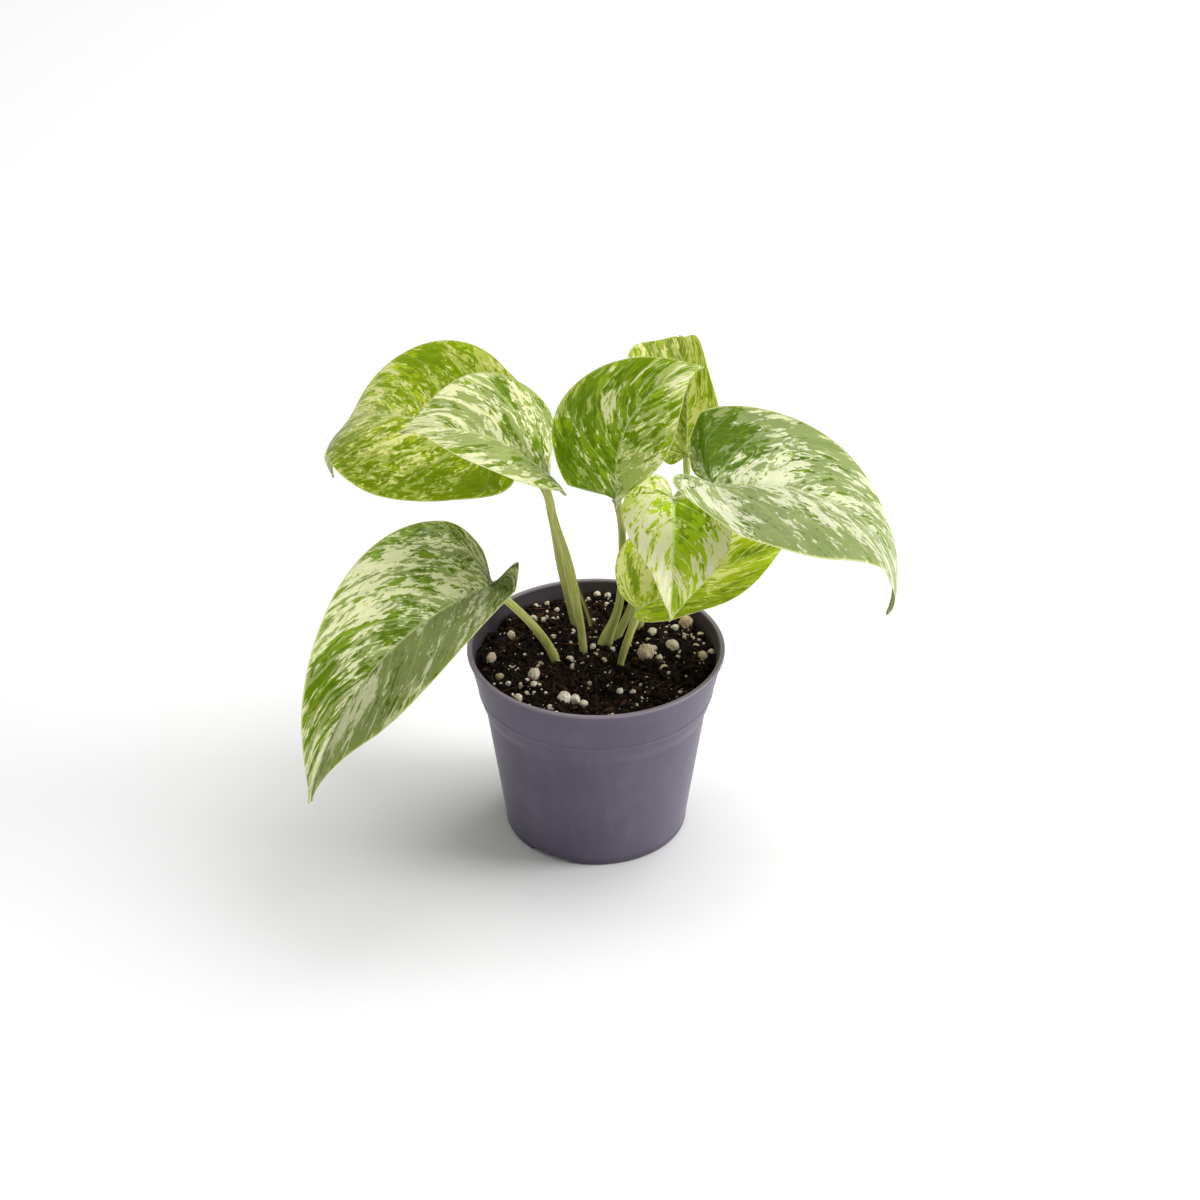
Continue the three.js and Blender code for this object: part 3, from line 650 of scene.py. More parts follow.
def half_blade(leaf, side, column, row):
    """Points of the upper face of one half. The half rises from the midrib at its fold, bends evenly towards
    the margin by its curl, and its margin waves. Behind the stalk the lobe lifts by its own angle."""
    half = leaf["left" if side > 0 else "right"]
    x, y, vein_length = flat_half(leaf, half, column, row)
    behind = np.maximum(0, -x)
    lift = math.radians(half["lobe_lift"])
    share = np.where(x < 0, -behind * math.cos(lift), x) / leaf["length"]
    fold = np.radians(half["fold"] - half["open"] * np.clip(x / leaf["length"], 0, 1))
    bend = math.radians(half["curl"]) / half["width"]
    outward = (np.sin(fold) - np.sin(fold - bend * y)) / bend
    upward = (np.cos(fold - bend * y) - np.cos(fold)) / bend
    ripple = RIPPLE_HEIGHT * row**2 * np.sin(2 * np.pi * RIPPLE_COUNT * column + side)
    height = upward + behind * math.sin(lift) + ripple + relief(column, row, y)
    _, left, out = directions(leaf, share)
    points = midrib_at(leaf, share) + left * (side * outward)[..., None] + out * height[..., None]
    return points, y, vein_length


print("A blade has", SIDE_VEINS, "side veins on either side, and domes of", DOME_HEIGHT, "mm between them")

# %% [markdown]
# A blade is closed: an upper face, a lower face half a millimetre below it, and a round margin between
# them. The lower face carries the midrib as a ridge that thins towards the tip. Three things are stored at
# each point for the finish to read: its place along and across the veins with the number of its vein, how
# green its two layers are with how far out it lies, and whether it is on the lower face.

# %% What a blade's points store
VEIN_STRETCH = 1.3


def greenness(leaf, side, column, row):
    """How green the upper and the lower layer of cells are at each point: the half's own two values, plus a
    soft bump for each of the leaf's patches."""
    which = "left" if side > 0 else "right"
    total = np.zeros((*column.shape, 2)) + leaf[which]["green"]
    for half, around, across, reach_around, reach_across, *amounts in leaf["patches"]:
        if half != which:
            continue
        distance = ((column - around) / reach_around) ** 2 + ((row - across) / reach_across) ** 2
        total += np.exp(-(distance**1.5))[..., None] * amounts
    return total


def vein_place(leaf, side, column, row, vein_length):
    """Millimetres along the midrib at which the point's vein starts, stretched as the vein is slanted,
    millimetres out along the vein, negative on the right half, and the number of the vein."""
    vein = vein_through(column, row)
    along = vein * VEIN_STRETCH * leaf["length"]
    return np.stack((along, side * row * vein_length, vein * SIDE_VEINS), axis=-1)


print("The leaves have", sum(len(leaf["patches"]) for leaf in LEAVES.values()), "patches")

# %% Closing a blade
BLADE_THICKNESS = 0.55
MARGIN_THINNING = 0.55
MARGIN_POWER = 6
MARGIN_BULGE = 0.4
RIB_DEPTH = 1.0
RIB_THINNING = 0.75
RIB_REACH = 0.9


def welded_numbers(column):
    """Point numbers for the grids of both halves. The first column and the start of the fan are one point,
    the notch. The halves share the midrib, and their last columns are one point, the tip. Returns which
    points of the two grids stay, and the grids in their numbers."""
    numbers = np.arange(2 * column.size).reshape(2, *column.shape)
    numbers[:, 0, :] = 0
    numbers[:, column[:, 0] <= FAN_SHARE, 0] = 0
    numbers[1, :, 0] = numbers[0, :, 0]
    numbers[:, -1, :] = numbers[0, -1, 0]
    used, welded = np.unique(numbers, return_inverse=True)
    return used, welded.reshape(numbers.shape)


def point_normals(points, faces):
    """Unit normals at points: the areas of the faces around each, added up and set to length one."""
    corners = points[faces]
    areas = np.cross(corners[:, 2] - corners[:, 0], corners[:, 3] - corners[:, 1])
    totals = np.zeros_like(points)
    for k in range(4):
        np.add.at(totals, faces[:, k], areas)
    return totals / np.linalg.norm(totals, axis=1, keepdims=True)


def rib_depth(column, y):
    """How far the midrib stands out below: a rounded ridge that gets lower from the notch to the tip."""
    return RIB_DEPTH * (1 - RIB_THINNING * column) * np.exp(-((y / RIB_REACH) ** 2))


def closed_blade(upper, faces, thickness, edge):
    """The upper face, a lower face that lies a thickness behind it, and between them a margin with one more
    row of points, pushed outwards, along the edge."""
    normals = point_normals(upper, faces)
    lower = upper - normals * thickness[:, None]
    ahead = np.roll(upper[edge], -1, axis=0) - np.roll(upper[edge], 1, axis=0)
    outward = np.cross(ahead, normals[edge])
    outward /= np.linalg.norm(outward, axis=1, keepdims=True)
    rounded = (upper[edge] + lower[edge]) / 2 + outward * (thickness[edge, None] * MARGIN_BULGE)
    count = len(upper)
    ring = closed(np.stack((edge, 2 * count + np.arange(len(edge)), count + edge)))
    all_faces = np.vstack((faces, count + faces[:, ::-1], grid_faces(ring)[:, ::-1]))
    return np.vstack((upper, lower, rounded)), without_doubles(all_faces)


print("A blade is", BLADE_THICKNESS, "mm thick, and", BLADE_THICKNESS + RIB_DEPTH, "mm over its midrib")

# %% One blade
BOTH_HALVES = (1, -1)
COLUMNS = 150
ROWS = 36


def make_leaf(name, leaf, finish):
    """A whole blade: both halves of the grid, welded, closed, and with what the finish reads."""
    column, row = np.meshgrid(np.linspace(0, 1, COLUMNS + 1), np.linspace(0, 1, ROWS + 1), indexing="ij")
    halves, greens, veins, ribs = [], [], [], []
    for side in BOTH_HALVES:
        points, y, vein_length = half_blade(leaf, side, column, row)
        halves.append(points)
        greens.append(greenness(leaf, side, column, row))
        veins.append(vein_place(leaf, side, column, row, vein_length))
        ribs.append(rib_depth(column, y))
    used, welded = welded_numbers(column)
    gather = lambda arrays: np.stack(arrays).reshape(2 * column.size, *arrays[0].shape[2:])[used]
    rows = gather([row, row])
    thickness = BLADE_THICKNESS * (1 - MARGIN_THINNING * rows**MARGIN_POWER) + gather(ribs)
    faces = np.vstack((grid_faces(welded[0]), grid_faces(welded[1])[:, ::-1]))
    edge = np.concatenate((welded[1, :-1, -1], welded[0, :0:-1, -1]))
    points, all_faces = closed_blade(gather(halves), faces, thickness, edge)
    everywhere = lambda values: np.concatenate((values, values, values[edge]))
    under = np.concatenate((np.zeros(len(used)), np.ones(len(used)), np.zeros(len(edge))))
    stored = {
        "veins": everywhere(gather(veins)),
        "green": everywhere(np.column_stack((gather(greens), rows))),
        "under": np.stack((under, under, under), axis=-1),
    }
    return make_piece(f"blade_{name}", points, all_faces, f"leaf_{name}", "leaf", finish, stored)


print("The grid of a blade has", 2 * COLUMNS * ROWS, "faces")

# %% [markdown]
# ## The leaf's finish
#
# The finish reads the place along the veins and stretches its noise that way: patches, then flecks, then
# specks. Two such noises, one for each layer of cells, are cut off sharply where they pass a level that
# the stored greenness moves up and down. The four mixtures of green and not green are the four colours of
# the leaf. A ramp over one noise would give rings of colour, each inside the next, which no leaf has.

# %% The layers of cells
LEAVES_APART = 37.0
HALVES_APART = 50
WANDER = 5.0
PATCH_SHARE = 0.6
SPECK_SHARE = 0.5
UPPER_PATCHES = (0.182, 0.0845, 2.21)
UPPER_FLECKS = (0.44, 0.231, 2.53)
UPPER_LEVEL = 0.58
LOWER_PATCHES = (0.11, 0.055, 1)
LOWER_FLECKS = (0.36, 0.19, 1)
LOWER_LEVEL = 0.56
CUT = (0.45, 0.53)


def vein_field(veins, seed):
    """The place that the leaf's noises are read at. It is the place along and across the veins, so that the
    noises stretch with them. It is moved away for each leaf and half, because no two are alike, and wanders
    a few millimetres, so that no patch follows its vein like a ruler."""
    y = veins.part("Y")
    x = veins.part("X") + y.step(-0.01, 0.01) * HALVES_APART
    straight = veins.node("ShaderNodeCombineXYZ", X=x, Y=y, Z=LEAVES_APART * seed)
    wander = straight.scaled(0.28, 0.16, 1).noise(1.0, 3.0) - 0.5
    return veins.node("ShaderNodeCombineXYZ", X=x + wander * WANDER, Y=y, Z=LEAVES_APART * seed)


def green_layer(field, specks, patches, flecks, green, level):
    """Where a layer of cells is green: a sum of patches, flecks, specks and the stored greenness, cut off at
    a level. Patches and flecks are given as how many go into a millimetre along and across the veins, and
    into one step from leaf to leaf."""
    broad = field.scaled(*patches).noise(1.0, 2.0) * PATCH_SHARE
    fine = field.scaled(*flecks).noise(1.0, 4.0, 0.62)
    return (broad + fine + specks * SPECK_SHARE + green - level).step(*CUT)


print("The lower layer's flecks are about", round(1 / LOWER_FLECKS[0], 1), "mm long")

# %% The leaf's colours
LEAF_TINTS = {
    "cool": {
        "dark": (70, 106, 0), "bright": (110, 141, 28), "sage": (138, 154, 104), "cream": (230, 232, 212),
    },
    "warm": {
        "dark": (126, 144, 0), "bright": (168, 182, 24), "sage": (184, 190, 92), "cream": (232, 230, 142),
    },
}
MOTTLE_TINT = (196, 210, 60)
VEIN_TINT = (206, 218, 150)
MIDRIB_TINT = (206, 220, 150)
MARGIN_TINT = (216, 222, 160)
UNDERSIDE_TINT = (190, 204, 160)
# The colour of the painted sheen near the tip.
PAINTED_SHEEN_TINT = (190, 186, 168)
VEIN_LINE = (0.015, 0.06)
MIDRIB_LINE = (0.15, 0.75)
MARGIN_LINE = (0.975, 0.995)
PAINTED_SHEEN_START = 0.55 * SIDE_VEINS
PAINTED_SHEEN_FULL = 0.85 * SIDE_VEINS
SCREEN_GAMMA = 2.2
CLOUD_LEAST = 0.65
CLOUD_RANGE = 0.7
BRIGHTEST = (0.94, 0.94, 0.94)


def leaf_tints(warmth):
    """The four colours of a leaf whose greens lie a share of the way from the cool ones to the warm ones."""
    pairs = {key: zip(LEAF_TINTS["cool"][key], LEAF_TINTS["warm"][key]) for key in LEAF_TINTS["cool"]}
    return {key: tuple(cool + (warm - cool) * warmth for cool, warm in pair) for key, pair in pairs.items()}


def painted_light_and_clouds(field, veins, painted_light_and_shade):
    """What a leaf's colours are multiplied by: painted light and shade, one factor for the left half and one
    for the right, given as the eye sees them, and soft clouds of tone over both."""
    left, right = (value**SCREEN_GAMMA for value in painted_light_and_shade)
    # Painted light and shade: each half is brightened or darkened as light falls on it.
    halves = right + veins.part("Y").step(-0.1, 0.1) * (left - right)
    clouds = field.scaled(0.22, 0.12, 1).noise(1.0, 4.0, 0.6)
    return halves * (CLOUD_LEAST + CLOUD_RANGE * clouds)


def make_leaf_finish(name, warmth, painted_light_and_shade, painted_sheen, seed):
    """Marbled leaf tissue with pale veins and a pale margin. Warmth from 0 to 1 turns its greens from
    blue-green to yellow-green, as in a young leaf. Its painted light and shade is a pair of factors that
    brighten or darken the left half and the right, as light falls on each. Its painted sheen, from 0 to 1,
    lays a pale grey sheen over the part near the tip."""
    finish, shader, place = new_finish(
        name, 0.4, Subsurface_Weight=0.6, Subsurface_Scale=0.0015, Subsurface_Radius=(0.9, 1.0, 0.35),
        Specular_IOR_Level=0.1,
    )
    veins = attribute(place, "veins")
    upper_green, lower_green, outward = (attribute(place, "green").part(axis) for axis in "XYZ")
    under = attribute(place, "under").part("X")
    field = vein_field(veins, seed)
    specks = field.scaled(1.1, 0.6, 1).noise(1.0, 3.0, 0.6)
    upper = green_layer(field, specks, UPPER_PATCHES, UPPER_FLECKS, upper_green, UPPER_LEVEL)
    lower = green_layer(field, specks, LOWER_PATCHES, LOWER_FLECKS, lower_green, LOWER_LEVEL)
    tints = leaf_tints(warmth)
    pale = lower.blend(tints["cream"], tints["sage"])
    full = lower.blend(tints["bright"], tints["dark"])
    colour = upper.blend(pale, full)
    mottle = field.scaled(0.5, 0.5, 1).noise(1.0, 4.0, 0.65)
    colour = (mottle.step(0.35, 0.75) * 0.2).blend(colour, MOTTLE_TINT)
    from_vein = abs((veins.part("Z") + 0.5).fraction() - 0.5)
    vein_line = 1 - from_vein.step(*VEIN_LINE)
    colour = (vein_line * (1 - outward) * 0.4).blend(colour, VEIN_TINT)
    midrib = 1 - abs(veins.part("Y")).step(*MIDRIB_LINE)
    colour = (midrib * 0.55).blend(colour, MIDRIB_TINT)
    # The halves' painted light and shade, and the clouds, scale the colour.
    colour = colour.vector_sum("SCALE", Scale=painted_light_and_clouds(field, veins, painted_light_and_shade))
    colour = colour.vector_sum("MINIMUM", _1=BRIGHTEST)
    colour = (outward.step(*MARGIN_LINE) * 0.7).blend(colour, MARGIN_TINT)
    colour = (under * 0.35).blend(colour, UNDERSIDE_TINT)
    # Painted sheen: a pale grey sheen, in clouds, over the part near the tip.
    if painted_sheen:
        clouds = place.noise(22.0, 2.0).step(0.3, 0.6)
        near_tip = veins.part("Z").step(PAINTED_SHEEN_START, PAINTED_SHEEN_FULL)
        colour = (clouds * near_tip * painted_sheen).blend(colour, PAINTED_SHEEN_TINT)
    plug(colour, shader, "Base Color")
    plug(0.34 + 0.12 * mottle + 0.22 * under, shader, "Roughness")
    grain = field.scaled(2.2, 2.2, 1).noise(1.0, 2.0)
    bump(shader, grain * 0.6 + upper * 0.25, 0.00012, 0.35)
    return finish


print("A leaf halfway between cool and warm has the tints", leaf_tints(0.5))

# %% Eight blades
for seed, (name, leaf) in enumerate(LEAVES.items()):
    leaf_finish = make_leaf_finish(f"marbled_{name}", leaf["warmth"], leaf["painted_light_and_shade"], leaf["painted_sheen"], seed)
    blade = make_leaf(name, leaf, leaf_finish)
    print(blade.name, len(blade.data.polygons), "faces")

# %% [markdown]
# ## The stalks
#
# Each blade hangs on a long stalk, half round with a shallow groove on the side that faces the plant's
# middle. It widens into a clasping foot at the soil, and just under the blade it has a short swollen neck,
# with which the plant turns its leaf to the light. The stalk is a profile carried along the frame's own
# route. A round bevelled curve would be quicker, but it has neither groove, foot nor neck.

# %% Where a stalk stands
SOIL_LEVEL = 73.5
STALK_DEPTH = 9


def soil_height(x, y):
    """The lumpy top of the soil, as in the frame: three sizes of waves on a level."""
    broad = 0.8 * np.sin(0.16 * x + 1.3) * np.cos(0.14 * y + 0.4)
    middling = 0.5 * np.sin(0.41 * x + 0.33 * y) + 0.4 * np.sin(0.37 * y - 0.52 * x + 2)
    fine = 0.25 * np.sin(1.1 * x + 0.7) * np.sin(0.9 * y)
    return SOIL_LEVEL + broad + middling + fine


def grounded(knots):
    """A route's knots with its foot, given without a height, set on the soil and below it."""
    foot, *bends = knots
    ground = soil_height(*foot)
    return [(*foot, ground - STALK_DEPTH), (*foot, ground), *bends]


print("The soil in the middle of the pot is", round(float(soil_height(0, 0)), 2), "mm high")

# %% A tube along a route
ROUTE_STEPS = 60


def smooth_route(knots, count):
    """Evenly spaced points on a smooth curve through knots, and its length. The curve's time between two
    knots goes with the square root of their distance, which keeps it from looping at sharp turns."""
    knots = np.asarray(knots, dtype=float)
    padded = np.vstack((2 * knots[0] - knots[1], knots, 2 * knots[-1] - knots[-2]))
    times = np.concatenate(([0], np.cumsum(np.linalg.norm(np.diff(padded, axis=0), axis=1) ** 0.5)))
    stretches = []
    for k in range(1, len(padded) - 2):
        t0, t1, t2, t3 = times[k - 1 : k + 3]
        t = np.linspace(t1, t2, ROUTE_STEPS, endpoint=False)[:, None]
        p0, p1, p2, p3 = padded[k - 1 : k + 3]
        a1 = (t1 - t) / (t1 - t0) * p0 + (t - t0) / (t1 - t0) * p1
        a2 = (t2 - t) / (t2 - t1) * p1 + (t - t1) / (t2 - t1) * p2
        a3 = (t3 - t) / (t3 - t2) * p2 + (t - t2) / (t3 - t2) * p3
        b1 = (t2 - t) / (t2 - t0) * a1 + (t - t0) / (t2 - t0) * a2
        b2 = (t3 - t) / (t3 - t1) * a2 + (t - t1) / (t3 - t1) * a3
        stretches.append((t2 - t) / (t2 - t1) * b1 + (t - t1) / (t2 - t1) * b2)
    dense = np.vstack((*stretches, knots[-1]))
    lengths = np.concatenate(([0], np.cumsum(np.linalg.norm(np.diff(dense, axis=0), axis=1))))
    even = np.linspace(0, lengths[-1], count)
    return np.stack([np.interp(even, lengths, dense[:, k]) for k in range(3)], axis=-1), lengths[-1]


def sweep_profile(route, facing, widths, shape):
    """A tube: at each point of a route, a ring whose radius is a width times a shape that depends on the
    angle from the facing direction. Returns points and faces, closed by a point at either end."""
    tangent = np.gradient(route, axis=0)
    tangent /= np.linalg.norm(tangent, axis=1, keepdims=True)
    front = facing - tangent * (tangent @ facing)[:, None]
    front /= np.linalg.norm(front, axis=1, keepdims=True)
    across = np.cross(tangent, front)
    sides = shape.shape[1]
    angle = ring_angles(sides)[None, :, None]
    outward = np.cos(angle) * front[:, None] + np.sin(angle) * across[:, None]
    rings = route[:, None] + (widths[:, None] * shape)[..., None] * outward
    points = np.vstack((rings.reshape(-1, 3), route[:1], route[-1:]))
    return points, without_doubles(body_faces(len(route), sides))


def along_tube(share, length, around):
    """What a tube's finish reads at each point: millimetres along the tube, a value that depends on the angle
    round it, and the share of the length."""
    shares = np.repeat(share, len(around))
    stored = np.stack((shares * length, np.tile(around, len(share)), shares), axis=-1)
    return np.vstack((stored, [0, 0, 0], [length, 0, 1]))


for name, leaf in LEAVES.items():
    _, length = smooth_route(grounded(leaf["stalk"]), ROUTE_STEPS)
    print("The stalk of", name, "is", round(float(length)), "mm long up to its last bend")

# %% The stalk's shape
STALK_STEPS = 120
STALK_SIDES = 32
STALK_TOP_SHARE = 0.75
STALK_TOP_BELOW = 0.7
STALK_TOP_AHEAD = 1.2
FLARE_HEIGHT = 9
NECK_SWELL = 0.16
NECK_DISTANCE = 5
NECK_REACH = 4
GROOVE_DEPTH = 0.32
GROOVE_REACH = 0.42
SHOULDER_HEIGHT = 0.1
SHOULDER_ANGLE = 0.85
SHOULDER_REACH = 0.3
STEEP_RISE = 80


def stalk_section(around):
    """The share of the radius that the groove takes away at angles from the middle of the groove. Its two
    shoulders stand out a little."""
    groove = GROOVE_DEPTH * np.exp(-((around / GROOVE_REACH) ** 2))
    return groove - SHOULDER_HEIGHT * np.exp(-(((around - SHOULDER_ANGLE) / SHOULDER_REACH) ** 2))


def make_stalk(name, leaf, finish):
    """One stalk, from below the soil up to the notch of its blade. The groove faces away from the blade, or
    forwards under a blade that starts straight up, and fades towards the top."""
    forward, _, out = (v[0] for v in directions(leaf, np.zeros(1)))
    top = np.array(leaf["stalk_top"]) - STALK_TOP_BELOW * out + STALK_TOP_AHEAD * forward
    route, length = smooth_route([*grounded(leaf["stalk"]), tuple(top)], STALK_STEPS)
    share = np.linspace(0, 1, STALK_STEPS)
    above = share * length - STALK_DEPTH
    flare = leaf["stalk_flare"] * np.exp(-((np.maximum(above, 0) / FLARE_HEIGHT) ** 2))
    neck = NECK_SWELL * np.exp(-(((length - share * length - NECK_DISTANCE) / NECK_REACH) ** 2))
    widths = leaf["stalk_width"] / 2 * (1 + (STALK_TOP_SHARE - 1) * share) * (1 + flare + neck)
    angle = ring_angles(STALK_SIDES)
    around = np.minimum(angle, 2 * np.pi - angle)
    groove_fade = np.clip(1.15 - share * 1.1, 0, 1)[:, None]
    shape = 1 - stalk_section(around)[None] * groove_fade
    heading = math.radians(leaf["heading"])
    facing = -np.array([math.cos(heading), math.sin(heading), 0.0])
    if leaf["rise"] > STEEP_RISE:
        facing = np.array([0.0, -1.0, 0.0])
    points, faces = sweep_profile(route, facing, widths, shape)
    stored = {"along": along_tube(share, length, around)}
    return make_piece(f"petiole_{name}", points, faces, f"stalk_{name}", "stalk", finish, stored)


print("The groove takes", stalk_section(0.0).round(2), "of a stalk's radius")

# %% [markdown]
# The rind is smooth and translucent. Long streaks run up it, pale lines of cells without green. It is
# whitish at the foot and in the neck, and painted a darker green down in the groove, as shade. The streaks
# are noise stretched along the length that the stalk stores. Noise on the plant's own axes would cut across
# a stalk that leans.

# %% The stalk's finish


def make_stalk_finish():
    """Smooth pale green rind with long streaks, whiter at the foot and in the neck."""
    finish, shader, place = new_finish(
        "stalk_rind", 0.42, Subsurface_Weight=0.25, Subsurface_Scale=0.001, Subsurface_Radius=(1.0, 1.0, 0.4),
        Specular_IOR_Level=0.2,
    )
    along = attribute(place, "along")
    share = along.part("Z")
    streaks = along.scaled(0.045, 2.6, 0).noise(1.6, 3.0, 0.6)
    fine = place.scaled(1, 1, 0.12).noise(900.0, 3.0)
    foot = 1 - share.step(0.08, 0.3)
    neck = share.step(0.93, 0.98)
    groove = 1 - along.part("Y").step(0.15, 0.6)
    colour = streaks.step(0.42, 0.6).blend((180, 188, 82), (222, 222, 142))
    colour = (fine.step(0.45, 0.7) * 0.35).blend(colour, (226, 228, 160))
    colour = (foot * 0.6).blend(colour, (214, 216, 158))
    colour = (neck * 0.6).blend(colour, (206, 216, 160))
    # Painted shade: the groove is a darker green, as shade falls into it.
    colour = (groove * 0.35).blend(colour, (126, 148, 66))
    plug(colour, shader, "Base Color")
    plug(0.36 + 0.16 * fine, shader, "Roughness")
    bump(shader, fine, 0.0001, 0.4)
    return finish


stalk_finish = make_stalk_finish()
for name, leaf in LEAVES.items():
    petiole = make_stalk(name, leaf, stalk_finish)
    print(petiole.name, len(petiole.data.polygons), "faces")

# %% [markdown]
# ## The dry sheath
#
# Beside the two left stalks stands the sheath of an older leaf: a thin strip, yellow in the middle and
# brown and papery along its edges. It is the stalk's route and sweep again with a flat profile, slightly
# hollow on one side. A bare sheet would be simpler, but it would vanish when seen along its edge.

# %% The dry sheath
SHEATH_ROUTE = [(-2.2, 23.6), (-7, 24.2, 90), (-11.2, 24.2, 102)]
SHEATH_FACING = np.array([0.25, -1.0, 0.0])
SHEATH_STEPS = 80
SHEATH_SIDES = 28
SHEATH_WIDTH = 2.6
SHEATH_THICKNESS = 0.9
SHEATH_TOP_SHARE = 0.6
SHEATH_HOLLOW = 0.35
HOLLOW_REACH = 0.5
TORN_SHARE = 0.75
TORN_POWER = 14


def make_sheath(finish):
    """The strip: an oval one wide and as deep as the strip is thick for its width, hollowed in front, carried
    along the route and narrowed to its torn top."""
    route, length = smooth_route(grounded(SHEATH_ROUTE), SHEATH_STEPS)
    share = np.linspace(0, 1, SHEATH_STEPS)
    angle = ring_angles(SHEATH_SIDES)
    flat = SHEATH_THICKNESS / SHEATH_WIDTH
    oval = flat / np.sqrt((flat * np.sin(angle)) ** 2 + np.cos(angle) ** 2)
    hollow = 1 - SHEATH_HOLLOW * np.exp(-((np.minimum(angle, 2 * np.pi - angle) / HOLLOW_REACH) ** 2))
    shape = np.tile(oval * hollow, (SHEATH_STEPS, 1))
    taper = (1 + (SHEATH_TOP_SHARE - 1) * share) * (1 - TORN_SHARE * share**TORN_POWER)
    points, faces = sweep_profile(route, SHEATH_FACING, SHEATH_WIDTH / 2 * taper, shape)
    stored = {"along": along_tube(share, length, np.sin(angle))}
    return make_piece("dry_sheath", points, faces, "sheath", "sheath", finish, stored)


def make_sheath_finish():
    """Papery dead tissue: straw in the middle, brown at the edges and the top, with long fibres."""
    finish, shader, place = new_finish("dry_sheath", 0.7)
    along = attribute(place, "along")
    fibres = along.scaled(0.06, 3.0, 0).noise(2.0, 4.0, 0.65)
    edge = abs(along.part("Y")).step(0.72, 0.95)
    top = along.part("Z").step(0.85, 1.0)
    colour = fibres.step(0.4, 0.62).blend((176, 170, 84), (216, 212, 136))
    colour = edge.blend(colour, (78, 50, 34))
    colour = top.blend(colour, (92, 64, 40))
    plug(colour, shader, "Base Color")
    bump(shader, fibres, 0.0002, 0.6)
    return finish


sheath = make_sheath(make_sheath_finish())
print(sheath.name, len(sheath.data.polygons), "faces")

# %% [markdown]
# ## The pot
#
# The pot is thin moulded plastic: a taper with a fine bead near its foot, a flared collar, so that empty pots
# stack, a rolled lip that stiffens the rim, and a foot with slots that let water out from under it. Here it
# is turned from one profile, as on a lathe. Where the frame's pot has flat sides this one is round, and
# extra points on small arcs soften its corners. Slots and drain holes are cut afterwards. Cutting them into
# the profile's grid instead would mean faces laid by hand round every hole.

# %% The pot's sizes
RIM_RADIUS = 50
RIM_HEIGHT = 79.5
LIP_WIDTH = 2
LIP_HEIGHT = 1.8
LIP_PROUD = 0.8
WALL = 1.3
COLLAR_FOOT = (45.6, 61.5)
WALL_TOP = (43.1, 53.5)
BASE_RADIUS = 35.6
FOOT_HEIGHT = 1.8
FOOT_WIDTH = 1.6
FLOOR_THICKNESS = 1.5
PAD_RADIUS = 9
BEAD_HEIGHT = 5.1
BEAD_PROUD = 0.106
BEAD_REACH = 0.5

COLLAR_TOP = (RIM_RADIUS - LIP_PROUD, RIM_HEIGHT - LIP_HEIGHT)
FLOOR_TOP = FOOT_HEIGHT + FLOOR_THICKNESS


def wall_radius(height):
    """The outer radius of the pot's lower wall, which leans outwards evenly from the foot to its top."""
    return BASE_RADIUS + (WALL_TOP[0] - BASE_RADIUS) * height / WALL_TOP[1]


print("The pot is", 2 * RIM_RADIUS, "mm across and", RIM_HEIGHT, "mm high, and its wall", WALL, "mm thick")

# %% The pot's profile
CORNER_REACH = 0.9
CORNER_POINTS = 5
CORNER_SHARE = 0.33


def rounded(corners):
    """A profile whose inner corners are cut by short arcs: each corner becomes five points of the curve that
    starts and ends a reach away from it, or a third of the way to its neighbour if that is nearer."""
    corners = np.asarray(corners, dtype=float)
    points = [corners[0]]
    for before, corner, after in zip(corners[:-2], corners[1:-1], corners[2:]):
        back, ahead = before - corner, after - corner
        start = corner + back * min(CORNER_REACH / np.linalg.norm(back), CORNER_SHARE)
        end = corner + ahead * min(CORNER_REACH / np.linalg.norm(ahead), CORNER_SHARE)
        t = np.linspace(0, 1, CORNER_POINTS)[:, None]
        points.extend((1 - t) ** 2 * start + 2 * t * (1 - t) * corner + t**2 * end)
    points.append(corners[-1])
    return np.array(points)


